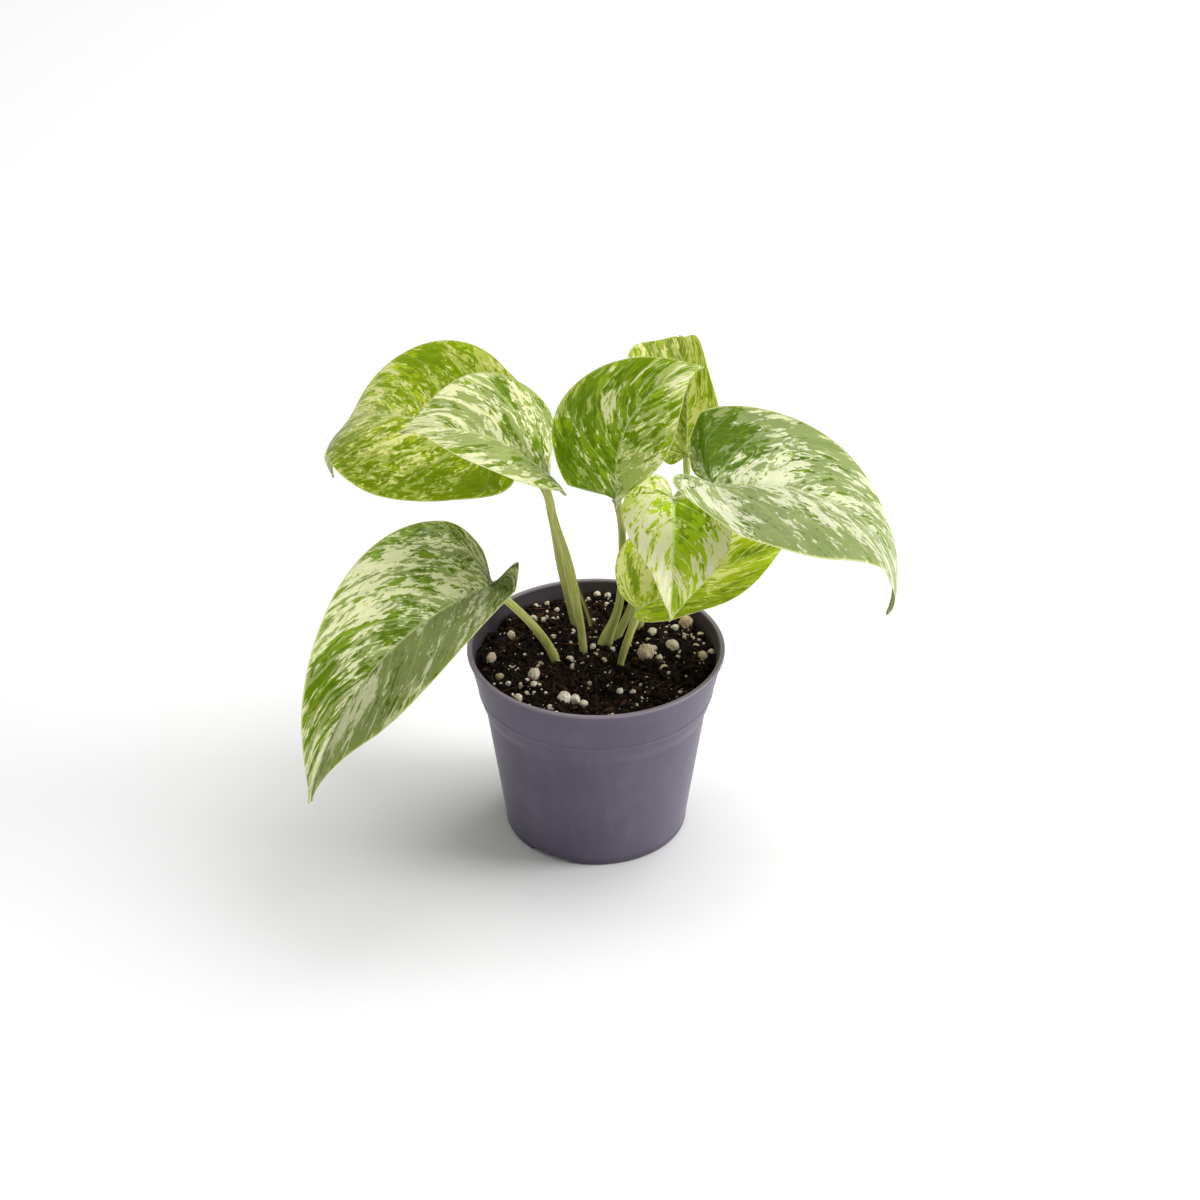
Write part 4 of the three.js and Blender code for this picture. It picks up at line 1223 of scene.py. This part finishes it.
def pot_profile():
    """Radius and height from the middle of the underside, up the outside, over the lip, down the inside and
    to the middle of the floor. Steps of a few tenths are the small edges that the mould leaves."""
    foot_inside = BASE_RADIUS - FOOT_WIDTH
    foot_top = wall_radius(FOOT_HEIGHT)
    underside = [
        (0, 0), (PAD_RADIUS, 0), (PAD_RADIUS + FOOT_HEIGHT, FOOT_HEIGHT), (foot_inside, FOOT_HEIGHT),
        (foot_inside, 0), (BASE_RADIUS, 0), (foot_top + 0.25, FOOT_HEIGHT), (foot_top, FOOT_HEIGHT + 0.5),
    ]
    bead = [
        (wall_radius(BEAD_HEIGHT - BEAD_REACH), BEAD_HEIGHT - BEAD_REACH),
        (wall_radius(BEAD_HEIGHT) + BEAD_PROUD, BEAD_HEIGHT),
        (wall_radius(BEAD_HEIGHT + BEAD_REACH), BEAD_HEIGHT + BEAD_REACH),
    ]
    collar, collar_height = COLLAR_FOOT
    flare = [
        WALL_TOP, ((WALL_TOP[0] + collar) / 2 + 0.3, (WALL_TOP[1] + collar_height) / 2),
        (collar, collar_height - 0.2), (collar + 0.42, collar_height + 0.35),
        (collar + 0.3, collar_height + 1.2), (COLLAR_TOP[0] - 0.1, COLLAR_TOP[1] - 0.5), COLLAR_TOP,
    ]
    lip = [
        (RIM_RADIUS, COLLAR_TOP[1] + 0.25), (RIM_RADIUS, RIM_HEIGHT - 0.4), (RIM_RADIUS - 0.4, RIM_HEIGHT),
        (RIM_RADIUS - 0.9, RIM_HEIGHT - 0.12), (RIM_RADIUS - LIP_WIDTH + 0.3, RIM_HEIGHT),
        (RIM_RADIUS - LIP_WIDTH, RIM_HEIGHT - 0.5),
    ]
    floor_edge = wall_radius(FLOOR_TOP) - WALL
    inside = [
        (COLLAR_TOP[0] - WALL, COLLAR_TOP[1]), (collar - WALL, collar_height),
        (WALL_TOP[0] - WALL, WALL_TOP[1]), (floor_edge - 0.8, FLOOR_TOP + 0.2),
        (floor_edge - 1.6, FLOOR_TOP), (0, FLOOR_TOP),
    ]
    return rounded(underside + bead + flare + lip + inside)


print("The pot's profile has", len(pot_profile()), "points")

# %% [markdown]
# The plastic is a dull purple grey. A painted highlight lightens the rounded top of the rim, and painted
# shade darkens the inside of the collar and the foot. Recycled plastic is never one even colour: it is
# faintly streaked where the melt flowed, and its skin is slightly pebbled. An image wrapped round the pot
# would show a seam. Noise that is read at each point's place has none.

# %% The pot's finish
# The colour of the painted shade inside the collar.
INSIDE_SHADE_TINT = (66, 58, 60)
# The colour of the painted highlight on the top of the rim.
RIM_HIGHLIGHT_TINT = (190, 176, 188)
# The colour and height of the painted shade at the foot.
FOOT_SHADE_TINT = (54, 48, 58)
FOOT_SHADE_HEIGHT = 4


def make_pot_finish():
    """Satin recycled plastic with cloudy tints, flow streaks, a painted highlight along the top of the
    rim and a fine pebbled skin. Inside the collar it is painted darker, as shade, and so is the foot,
    where the pot stands in its own shadow."""
    finish, shader, place = new_finish(
        "nursery_plastic", 0.5, Sheen_Weight=0.3, Sheen_Roughness=0.35, Sheen_Tint=(0.92, 0.88, 1, 1),
    )
    clouds = place.noise(26.0, 4.0, 0.6)
    streaks = place.scaled(1, 1, 0.25).noise(140.0, 3.0, 0.6)
    pink = place.noise(60.0, 2.0).step(0.55, 0.75)
    colour = clouds.step(0.35, 0.65).blend((82, 75, 94), (92, 84, 104))
    colour = (streaks.step(0.45, 0.7) * 0.25).blend(colour, (108, 100, 120))
    colour = (pink * 0.2).blend(colour, (116, 96, 118))
    height = place.part("Z")
    radius = place.scaled(1, 1, 0).vector_sum("LENGTH", output=1)
    # Painted shade: inside the collar the wall is darker, as shade falls into the pot.
    collar, collar_height = COLLAR_FOOT
    lean = (COLLAR_TOP[0] - collar) / (COLLAR_TOP[1] - collar_height)
    wall_middle = (height - collar_height * MM) * lean + (collar - WALL / 2) * MM
    above_collar_foot = height.step((collar_height - 1.5) * MM, (collar_height + 0.5) * MM)
    inside = (wall_middle - radius).step(-0.2 * MM, 0.2 * MM) * above_collar_foot
    colour = (inside * 0.75).blend(colour, INSIDE_SHADE_TINT)
    # Painted highlight: the rounded top of the rim is lighter, where light catches it.
    rim_highlight = height.step((RIM_HEIGHT - 1.3) * MM, (RIM_HEIGHT - 0.1) * MM)
    colour = (rim_highlight * 0.4).blend(colour, RIM_HIGHLIGHT_TINT)
    # Painted shade: the wall darkens towards the floor, where the pot stands in its own shadow.
    foot = 1 - height.step(0.0, FOOT_SHADE_HEIGHT * MM)
    colour = (foot * 0.5).blend(colour, FOOT_SHADE_TINT)
    plug(colour, shader, "Base Color")
    plug(0.42 + 0.2 * clouds, shader, "Roughness")
    pebbles = place.noise(1400.0, 2.0)
    bump(shader, pebbles * 0.5 + streaks * 0.5, 0.00008, 0.5)
    return finish


pot_finish = make_pot_finish()
print("The pot's finish has", len(pot_finish.node_tree.nodes), "nodes")

# %% Turning the pot
POT_SIDES = 288


def turned(profile, sides):
    """A closed body of revolution. Its first and last points lie on the axis and are welded there."""
    angle = ring_angles(sides)
    radius, height = profile[1:-1, :1], profile[1:-1, 1:]
    rings = np.stack((radius * np.cos(angle), radius * np.sin(angle), height + 0 * angle), axis=-1)
    ends = [[0, 0, profile[0, 1]], [0, 0, profile[-1, 1]]]
    return np.vstack((rings.reshape(-1, 3), ends)), without_doubles(body_faces(len(radius), sides))


pot = make_piece("nursery_pot", *turned(pot_profile(), POT_SIDES), "pot", "pot", pot_finish)
print(pot.name, len(pot.data.polygons), "faces before it is cut")

# %% Cutting slots and drain holes
CUT_FROM = -1
FOOT_SLOTS = 3
SLOT_SPAN = 28
FIRST_SLOT = -121
SLOT_RADII = (BASE_RADIUS - FOOT_WIDTH - 0.5, BASE_RADIUS + 2)
SLOT_HEIGHT = FOOT_HEIGHT - 0.02
SLOT_POINTS = 16
DRAIN_HOLES = 5
HOLE_RADIUS = 3.5
HOLE_CIRCLE = 22
HOLE_POINTS = 40
SHARP_ANGLE = math.radians(40)


def ring_part(inner, outer, start, end):
    """The outline of a piece of a flat ring between two angles in degrees."""
    angle = np.radians(np.linspace(start, end, SLOT_POINTS))
    return np.concatenate((on_circle(inner, angle), on_circle(outer, angle)[::-1]))


def cut_away(target, flat, low, high):
    """Cuts a prism out of a piece: a flat outline, given in order, from a low height to a high one."""
    count = len(flat)
    bottom = np.column_stack((flat, np.full(count, low)))
    top = np.column_stack((flat, np.full(count, high)))
    after = np.roll(np.arange(count), -1)
    walls = [(k, int(n), int(n) + count, k + count) for k, n in enumerate(after)]
    caps = [tuple(range(count))[::-1], tuple(range(count, 2 * count))]
    mesh = bpy.data.meshes.new("cutter")
    mesh.from_pydata((np.vstack((bottom, top)) * MM).tolist(), [], walls + caps)
    if sum(np.cross(flat, np.roll(flat, -1, axis=0))) < 0:
        mesh.flip_normals()
    cutter = bpy.data.objects.new("cutter", mesh)
    bpy.context.scene.collection.objects.link(cutter)
    modifier = target.modifiers.new("cut", "BOOLEAN")
    modifier.operation = "DIFFERENCE"
    modifier.object = cutter
    evaluated = target.evaluated_get(bpy.context.evaluated_depsgraph_get())
    cut_mesh = bpy.data.meshes.new_from_object(evaluated)
    target.modifiers.clear()
    target.data = cut_mesh
    bpy.data.objects.remove(cutter)


for k in range(FOOT_SLOTS):
    start = FIRST_SLOT + 360 * k / FOOT_SLOTS - SLOT_SPAN / 2
    cut_away(pot, ring_part(*SLOT_RADII, start, start + SLOT_SPAN), CUT_FROM, SLOT_HEIGHT)
for angle in ring_angles(DRAIN_HOLES):
    outline = on_circle(HOLE_CIRCLE, angle) + on_circle(HOLE_RADIUS, ring_angles(HOLE_POINTS))
    cut_away(pot, outline, CUT_FROM, 3 * FLOOR_TOP)
pot.data.shade_smooth()
pot.data.set_sharp_from_angle(angle=SHARP_ANGLE)
print(pot.name, len(pot.data.polygons), "faces")

# %% [markdown]
# ## The potting mix
#
# Potting mix is dark moist peat: crumbs of every size, strands of root and fibre, chips of reddish bark,
# and grains of perlite, a white volcanic glass that is puffed up by heat and full of pits. It is built in
# layers, as it lies: a lumpy bed, loose crumbs on it, then chips and strands, and the grains last. One
# displaced surface alone would look like baked mud, because crumbs overhang and throw small shadows.

# %% The height of the bed
NOISE_CELLS = 64
NOISE_START = 1000.5
LUMP_SIZE = 5.0
LUMP_HEIGHT = 1.8
CRUMB_SIZE = 2.1
CRUMB_HEIGHT = 1.2
GRIT_SIZE = 0.9
GRIT_HEIGHT = 0.5


def soft_noise(x, y, size, seed):
    """Random heights from 0 to 1 that change smoothly over a size in millimetres: random values on a square
    lattice, and between them a weighted mean with eased weights."""
    lattice = np.random.default_rng(seed).random((NOISE_CELLS, NOISE_CELLS))
    u, v = x / size + NOISE_START, y / size + NOISE_START
    i, j = np.floor(u).astype(int), np.floor(v).astype(int)
    fu, fv = u - i, v - j
    fu, fv = fu * fu * (3 - 2 * fu), fv * fv * (3 - 2 * fv)
    at = lambda a, b: lattice[(i + a) % NOISE_CELLS, (j + b) % NOISE_CELLS]
    return (at(0, 0) * (1 - fu) + at(1, 0) * fu) * (1 - fv) + (at(0, 1) * (1 - fu) + at(1, 1) * fu) * fv


def folded_noise(x, y, size, seed):
    """Soft noise folded in the middle of its range, which makes it round on top and creased between."""
    return 1 - np.abs(2 * soft_noise(x, y, size, seed) - 1)


def bed_height(x, y):
    """The frame's soil with lumps, crumbs and grit on it, and sunk by the height of a lump."""
    lumps = LUMP_HEIGHT * folded_noise(x, y, LUMP_SIZE, 1)
    crumbs = CRUMB_HEIGHT * folded_noise(x, y, CRUMB_SIZE, 2)
    grit = GRIT_HEIGHT * soft_noise(x, y, GRIT_SIZE, 3)
    return soil_height(x, y) + lumps + crumbs + grit - LUMP_HEIGHT


print("The bed in the middle of the pot is", round(float(bed_height(0.0, 0.0)), 2), "mm high")

# %% The peat's finish
RUST_TINT = (84, 50, 30)


def make_peat_finish(name, dark, light):
    """Moist peat: two browns in patches, a few rusty fibres, and damp spots that shine a little."""
    finish, shader, place = new_finish(name, 0.75, Specular_IOR_Level=0.12)
    patches = place.noise(260.0, 4.0, 0.65)
    fibres = place.scaled(1, 0.2, 1).noise(1300.0, 2.0)
    grain = attribute(place, "grain").part("X")
    colour = (patches.step(0.4, 0.7) + grain * 0.6).blend(dark, light)
    colour = (fibres.step(0.6, 0.7) * 0.3).blend(colour, RUST_TINT)
    plug(colour, shader, "Base Color")
    plug(0.9 - 0.45 * patches, shader, "Roughness")
    bump(shader, patches * 0.6 + fibres * 0.4, 0.0004, 0.8)
    return finish


peat_finish = make_peat_finish("moist_peat", (7, 4, 2), (34, 20, 12))
bark_finish = make_peat_finish("bark", (30, 16, 10), (78, 44, 28))
strand_finish = make_peat_finish("root_fibre", (34, 20, 12), (104, 68, 44))
print("Three brown finishes:", peat_finish.name, bark_finish.name, strand_finish.name)

# %% The bed
SOIL_EDGE = 46.6
BED_RINGS = 130
BED_SIDES = 300
BED_GAP = 0.45
BED_BOTTOM = FLOOR_TOP + 0.35
BED_FOOT_GAP = 2.45
EDGE_DIP = 1.2
EDGE_POWER = 24


def make_bed(finish):
    """The soil as one closed body: a crumbly top that dips at its edge, a plain wall a little inside the
    pot's, and a flat bottom."""
    ring = np.linspace(0, 1, BED_RINGS + 1)[1:, None]
    angle = ring_angles(BED_SIDES)
    x, y = SOIL_EDGE * ring * np.cos(angle), SOIL_EDGE * ring * np.sin(angle)
    z = bed_height(x, y) - EDGE_DIP * ring**EDGE_POWER
    wall = [
        (COLLAR_FOOT[0] - WALL - BED_GAP, COLLAR_FOOT[1]), (WALL_TOP[0] - WALL - BED_GAP, WALL_TOP[1]),
        (wall_radius(BED_BOTTOM) - WALL - BED_FOOT_GAP, BED_BOTTOM), (0.5, BED_BOTTOM),
    ]
    circles = [np.column_stack((on_circle(radius, angle), height + 0 * angle)) for radius, height in wall]
    rings = np.concatenate((np.stack((x, y, z), axis=-1), circles))
    ends = [[0, 0, float(bed_height(0.0, 0.0))], [0, 0, BED_BOTTOM]]
    points = np.vstack((rings.reshape(-1, 3), ends))
    faces = without_doubles(body_faces(len(rings), BED_SIDES)[:, ::-1])
    return make_piece("peat_bed", points, faces, "soil", "soil", finish)


bed = make_bed(peat_finish)
print(bed.name, len(bed.data.polygons), "faces")

# %% [markdown]
# Crumbs, chips, grains and specks all start from a small ball. It is stretched, turned and dented
# differently for each, and all the balls of a kind go into one mesh: a thousand separate objects would be
# slow to handle and no better to look at.

# %% One ball


def ball(rings, sides):
    """Points and faces of a ball of radius one: rings of points, each turned half a step against the last,
    between two poles."""
    fall = np.pi * np.arange(1, rings + 1)[:, None] / (rings + 1)
    turn = 2 * np.pi * (np.arange(sides)[None] + 0.5 * np.arange(rings)[:, None]) / sides
    flat = on_circle(np.sin(fall), turn)
    ring_points = np.concatenate((flat, np.cos(fall)[..., None] + 0 * flat[..., :1]), axis=-1)
    points = np.vstack((ring_points.reshape(-1, 3), [[0, 0, 1], [0, 0, -1]]))
    return points, body_faces(rings, sides)[:, ::-1]


def random_turns(count, random):
    """Random rotations, as matrices, from random unit quaternions."""
    q = random.normal(size=(count, 4))
    w, x, y, z = (q / np.linalg.norm(q, axis=1, keepdims=True)).T
    rows = (
        (1 - 2 * (y * y + z * z), 2 * (x * y - z * w), 2 * (x * z + y * w)),
        (2 * (x * y + z * w), 1 - 2 * (x * x + z * z), 2 * (y * z - x * w)),
        (2 * (x * z - y * w), 2 * (y * z + x * w), 1 - 2 * (x * x + y * y)),
    )
    return np.stack([np.stack(row, axis=-1) for row in rows], axis=1)


def level_turns(count, random):
    """Random rotations about the vertical, as matrices."""
    spin = random.random(count) * 2 * np.pi
    level = np.zeros((count, 3, 3))
    level[:, 0, 0] = level[:, 1, 1] = np.cos(spin)
    level[:, 1, 0] = np.sin(spin)
    level[:, 0, 1] = -np.sin(spin)
    level[:, 2, 2] = 1
    return level


print("A ball of four rings of seven points has", len(ball(4, 7)[0]), "points")

# %% Many lumps
LOOSE_EDGE = 46.2
DENT_WAVES = ((2.2, 0.5), (4.5, 0.32), (9.0, 0.18))
WAVES_EACH = 3
WAVE_SCALE = 1.8
FOLD_LEVEL = 1.3
TILT = 0.3


def dents(points, count, random, folded):
    """How far each point of each ball is raised or dented: three random waves at each of three pitches.
    Folded waves give round bulges with creases between them."""
    total = np.zeros((count, len(points)))
    for pitch, share in DENT_WAVES:
        waves = random.normal(size=(count, WAVES_EACH, 3)) * pitch
        phases = random.random((count, WAVES_EACH)) * 2 * np.pi
        wave = np.sin(np.einsum("pk,nwk->nwp", points, waves) + phases[..., None])
        total += share * (2 * np.abs(wave) - FOLD_LEVEL if folded else wave).sum(axis=1) / WAVE_SCALE
    return total


def scatter(centres, sizes, mould, random, roughness, flatness, folded):
    """Many lumps in one mesh. Each ball is stretched by its three sizes, dented and turned: flat pieces only
    about the vertical, with a small tilt. A lump that would reach into the pot's wall is moved inwards."""
    points, faces = ball(*mould)
    count = len(centres)
    raised = 1 + roughness * dents(points, count, random, folded)[..., None]
    shapes = points[None] * raised * sizes[:, None]
    turn = random_turns(count, random)
    if flatness:
        level = level_turns(count, random)
        turn = level + (turn - level) * (1 - flatness) * TILT
    placed = np.einsum("nij,npj->npi", turn, shapes) + centres[:, None]
    spill = np.maximum(np.linalg.norm(placed[..., :2], axis=-1).max(axis=1) - LOOSE_EDGE, 0)
    placed[..., :2] -= (spill / np.linalg.norm(centres[:, :2], axis=1))[:, None, None] * centres[:, None, :2]
    numbers = faces[None] + (np.arange(count) * len(points))[:, None, None]
    return placed.reshape(-1, 3), numbers.reshape(-1, 4), len(points)


def on_soil(count, random, edge):
    """Random places on the soil inside an edge, evenly spread over its area, with the bed's height there."""
    radius = edge * np.sqrt(random.random(count))
    flat = on_circle(radius, random.random(count) * 2 * np.pi)
    return np.column_stack((flat, bed_height(flat[:, 0], flat[:, 1])))


def make_loose(
    name, centres, sizes, mould, finish, random, roughness, flatness=0, folded=False, shades=None,
):
    """One mesh of scattered lumps, each with a shade of its own stored at its points."""
    points, faces, each = scatter(centres, sizes, mould, random, roughness, flatness, folded)
    shades = random.random(len(centres)) if shades is None else shades
    grain = np.repeat(np.stack((shades, shades, shades), axis=-1), each, axis=0)
    return make_piece(name, points, without_doubles(faces), "soil", "soil", finish, {"grain": grain})


def lump_sizes(count, random, least, range_above, power):
    """Half the length, width and height of lumps, mostly small: a random share to a power, spread over a
    range above the least. Each of the three is then changed by up to three tenths."""
    sizes = least + range_above * random.random((count, 1)) ** power
    return sizes * (0.7 + 0.6 * random.random((count, 3)))


print("A lump that reaches more than", LOOSE_EDGE, "mm from the middle of the pot is moved inwards")

# %% Crumbs and chips
CRUMBS = 2200
CRUMB_EDGE = 45.0
CHIPS = 110
CHIP_EDGE = 44.0
SMALL_MOULD = (4, 7)
CHIP_MOULD = (7, 10)

random = np.random.default_rng(11)
crumb_places = on_soil(CRUMBS, random, CRUMB_EDGE)
crumb_sizes = lump_sizes(CRUMBS, random, least=0.35, range_above=1.35, power=3)
crumbs = make_loose(
    "peat_crumbs", crumb_places, crumb_sizes, SMALL_MOULD, peat_finish, random, roughness=0.22,
)

chip_places = on_soil(CHIPS, random, CHIP_EDGE)
chip_lengths = 1.2 + 2.2 * random.random(CHIPS)
chip_widths = 0.6 + 0.7 * random.random(CHIPS)
chip_heights = 0.35 + 0.4 * random.random(CHIPS)
chip_sizes = np.stack((chip_lengths, chip_widths, chip_heights), axis=-1)
chips = make_loose(
    "bark_chips", chip_places, chip_sizes, CHIP_MOULD, bark_finish, random, roughness=0.14, flatness=0.8,
)
print(crumbs.name, len(crumbs.data.polygons), "faces,", chips.name, len(chips.data.polygons), "faces")

# %% [markdown]
# Fine roots and fibres lie between the crumbs as short bent threads. Curves with a bevel would do for a
# few. Here all of them are one array, with a ring of five points at each step of each thread.

# %% Strands
STRANDS = 150
STRAND_STEPS = 9
STRAND_SIDES = 5
STRAND_EDGE = 43.0
STRAND_LIMIT = 45.5
STRAND_BOW = 0.9
STRAND_LIFT = 1.6
STRAND_REST = 0.25
STRAND_TAPER = 0.7


def strand_middles(centres, random, t):
    """Middle lines of threads at steps t from -0.5 to 0.5. Each runs through its centre at a random heading,
    bows aside and rises as a parabola, and lies on the mean height of the bed below it. Also returns the
    direction to each thread's side and its radius."""
    count = len(centres)
    heading = random.random(count) * 2 * np.pi
    length = 3 + 9 * random.random(count) ** 1.5
    bow = (random.random(count) - 0.5) * STRAND_BOW
    radius = 0.09 + 0.16 * random.random(count) ** 2
    along, aside = on_circle(1, heading), on_circle(1, heading + np.pi / 2)
    run = length[:, None] * t[None]
    sway = (bow * length)[:, None] * (t[None] ** 2 - 0.08)
    flat = centres[:, None, :2] + along[:, None] * run[..., None] + aside[:, None] * sway[..., None]
    lift = random.random(count)[:, None] * STRAND_LIFT * (1 - (2 * t[None]) ** 2) + STRAND_REST
    height = bed_height(flat[..., 0], flat[..., 1]).mean(axis=1, keepdims=True) + lift
    return np.concatenate((flat, height[..., None]), axis=-1), aside, radius


def make_strands(count, finish, random):
    """Fine roots and fibres in one mesh, each a thin five-sided tube that tapers to both ends. Those that
    would reach the pot's wall are left out."""
    t = np.linspace(-0.5, 0.5, STRAND_STEPS)
    middle, aside, radius = strand_middles(on_soil(count, random, STRAND_EDGE), random, t)
    inside = np.linalg.norm(middle[..., :2], axis=-1).max(axis=1) < STRAND_LIMIT
    middle, aside, radius = middle[inside], aside[inside], radius[inside]
    taper = radius[:, None] * (1 - STRAND_TAPER * (2 * t[None]) ** 4)
    wide = np.column_stack((aside, np.zeros(len(aside))))[:, None, None]
    upward = np.array([0.0, 0.0, 1.0])
    angle = ring_angles(STRAND_SIDES)[None, None, :, None]
    rings = middle[:, :, None] + taper[..., None, None] * (np.cos(angle) * wide + np.sin(angle) * upward)
    numbers = closed(np.arange(rings[..., 0].size).reshape(rings.shape[:3]))
    walls = np.vstack([grid_faces(strand)[:, ::-1] for strand in numbers]).tolist()
    ends = numbers[:, 0, ::-1][:, :-1].tolist() + numbers[:, -1, :-1].tolist()
    shades = np.repeat(random.random(len(middle)), STRAND_STEPS * STRAND_SIDES)
    grain = np.stack((shades, shades, shades), axis=-1)
    faces = [tuple(face) for face in walls + ends]
    return make_piece("strands", rings.reshape(-1, 3), faces, "soil", "soil", finish, {"grain": grain})


strands = make_strands(STRANDS, strand_finish, random)
print(strands.name, len(strands.data.polygons), "faces")

# %% [markdown]
# Grains of perlite are the first thing that the eye finds on the soil, so the large ones have places of
# their own: where a grain lies, how wide it is and its shade, from 0 for white to 1 for tan. The specks
# between them are strewn at random. A grain has a finer ball than a crumb, because its pits and bulges show.

# %% Places of the grains
PERLITE_PLACES = [
    (-40.6, -3.8, 4.1, 0.55), (-36.9, -12.3, 3.7, 0.8), (-23.8, -13.7, 5.4, 0.3), (-33.4, -19.2, 2.4, 0.2),
    (-28.4, -19.9, 2.2, 0.2), (-26.6, -24.1, 2.4, 0.1), (-23.6, -22.4, 2.4, 0.2), (-29.6, -28.5, 2.9, 0.4),
    (-12.1, -30.2, 5.6, 0.2), (-7.9, -29.6, 4.9, 0.25), (-4.5, -33.6, 2.9, 0.2), (-16.9, -35.7, 2.7, 0.3),
    (9, -25.2, 2.7, 0.1), (14, -25.6, 2.4, 0.15), (-2.4, -17.8, 2.7, 0.3), (19.3, 1.6, 6.5, 0.7),
    (22.2, 6.2, 2.9, 0.2), (24.5, -0.9, 3.2, 0.3), (26.3, -8, 4.1, 0.4), (29.7, 6.2, 4.9, 0.45),
    (22, 15.7, 3.2, 0.3), (36, 24.5, 5.9, 0.95), (31.1, 20.4, 2.9, 0.1), (41.2, -0.2, 3.7, 0.6),
    (39, 6.9, 2.9, 0.3), (44.7, 2.3, 2.7, 0.2), (42.8, 18.6, 2.4, 0.2), (6.2, 4.1, 2.4, 0.2),
    (-1.2, 6.9, 2.4, 0.15), (-10.1, -2.4, 2.9, 0.4), (-8.9, -7.3, 2.7, 0.3), (-21.3, -3.8, 2.4, 0.2),
    (-33.4, 16, 3.2, 0.5), (-9.1, 16.8, 2.4, 0.2), (-16.7, 14.2, 2.7, 0.3), (-15.6, 35, 2.7, 0.3),
    (-24, 36.9, 2.4, 0.2), (-20.9, 42.6, 2.7, 0.4), (0.4, 44.3, 2.7, 0.3), (4.6, 44.1, 2.7, 0.2),
    (4.4, 36.5, 2.4, 0.3), (-24.8, 27.5, 2.9, 0.3), (-20.6, 25.3, 2.4, 0.2), (-17.1, 26.3, 2.4, 0.4),
]
print(len(PERLITE_PLACES), "grains, the widest", max(grain[2] for grain in PERLITE_PLACES), "mm")

# %% Perlite
SPECKS = 420
SPECK_EDGE = 44.5
GRAIN_MOULD = (24, 34)
GRAIN_PROUD = 0.25


def make_perlite_finish():
    """Puffed volcanic glass: chalky white to tan, darker in its pits and where peat has stained it."""
    finish, shader, place = new_finish("perlite", 0.85, Subsurface_Weight=0.1, Subsurface_Scale=0.0005)
    shade = attribute(place, "grain").part("X")
    stain = place.noise(700.0, 3.0, 0.6)
    pits = place.node("ShaderNodeTexVoronoi", {"feature": "F1"}, Vector=place, Scale=1500.0)
    colour = shade.blend((246, 240, 226), (216, 186, 146))
    colour = (stain.step(0.5, 0.72) * 0.45).blend(colour, (160, 126, 90))
    colour = (1 - pits.step(0.1, 0.35)).blend(colour, (170, 146, 116))
    plug(colour, shader, "Base Color")
    bump(shader, pits, 0.0003, 0.7)
    return finish


perlite_finish = make_perlite_finish()
grain_x, grain_y, grain_widths, grain_shades = np.array(PERLITE_PLACES).T
grain_z = bed_height(grain_x, grain_y) + GRAIN_PROUD * grain_widths / 2
grain_centres = np.column_stack((grain_x, grain_y, grain_z))
grain_sizes = grain_widths[:, None] / 2 * (0.78 + 0.44 * random.random((len(grain_x), 3)))
grains = make_loose(
    "perlite_grains", grain_centres, grain_sizes, GRAIN_MOULD, perlite_finish, random, roughness=0.2,
    folded=True, shades=grain_shades,
)

speck_places = on_soil(SPECKS, random, SPECK_EDGE)
speck_sizes = lump_sizes(SPECKS, random, least=0.25, range_above=0.75, power=2.5)
speck_shades = 0.6 * random.random(SPECKS) ** 2
specks = make_loose(
    "perlite_specks", speck_places, speck_sizes, SMALL_MOULD, perlite_finish, random, roughness=0.2,
    shades=speck_shades,
)
print(grains.name, len(grains.data.polygons), "faces,", specks.name, len(specks.data.polygons), "faces")

# %% [markdown]
# ## The finished scene
#
# The fine pieces must not make the plant larger than its frame. Last, the scene is brought up to date.

# %% The finished scene
bpy.context.view_layer.update()
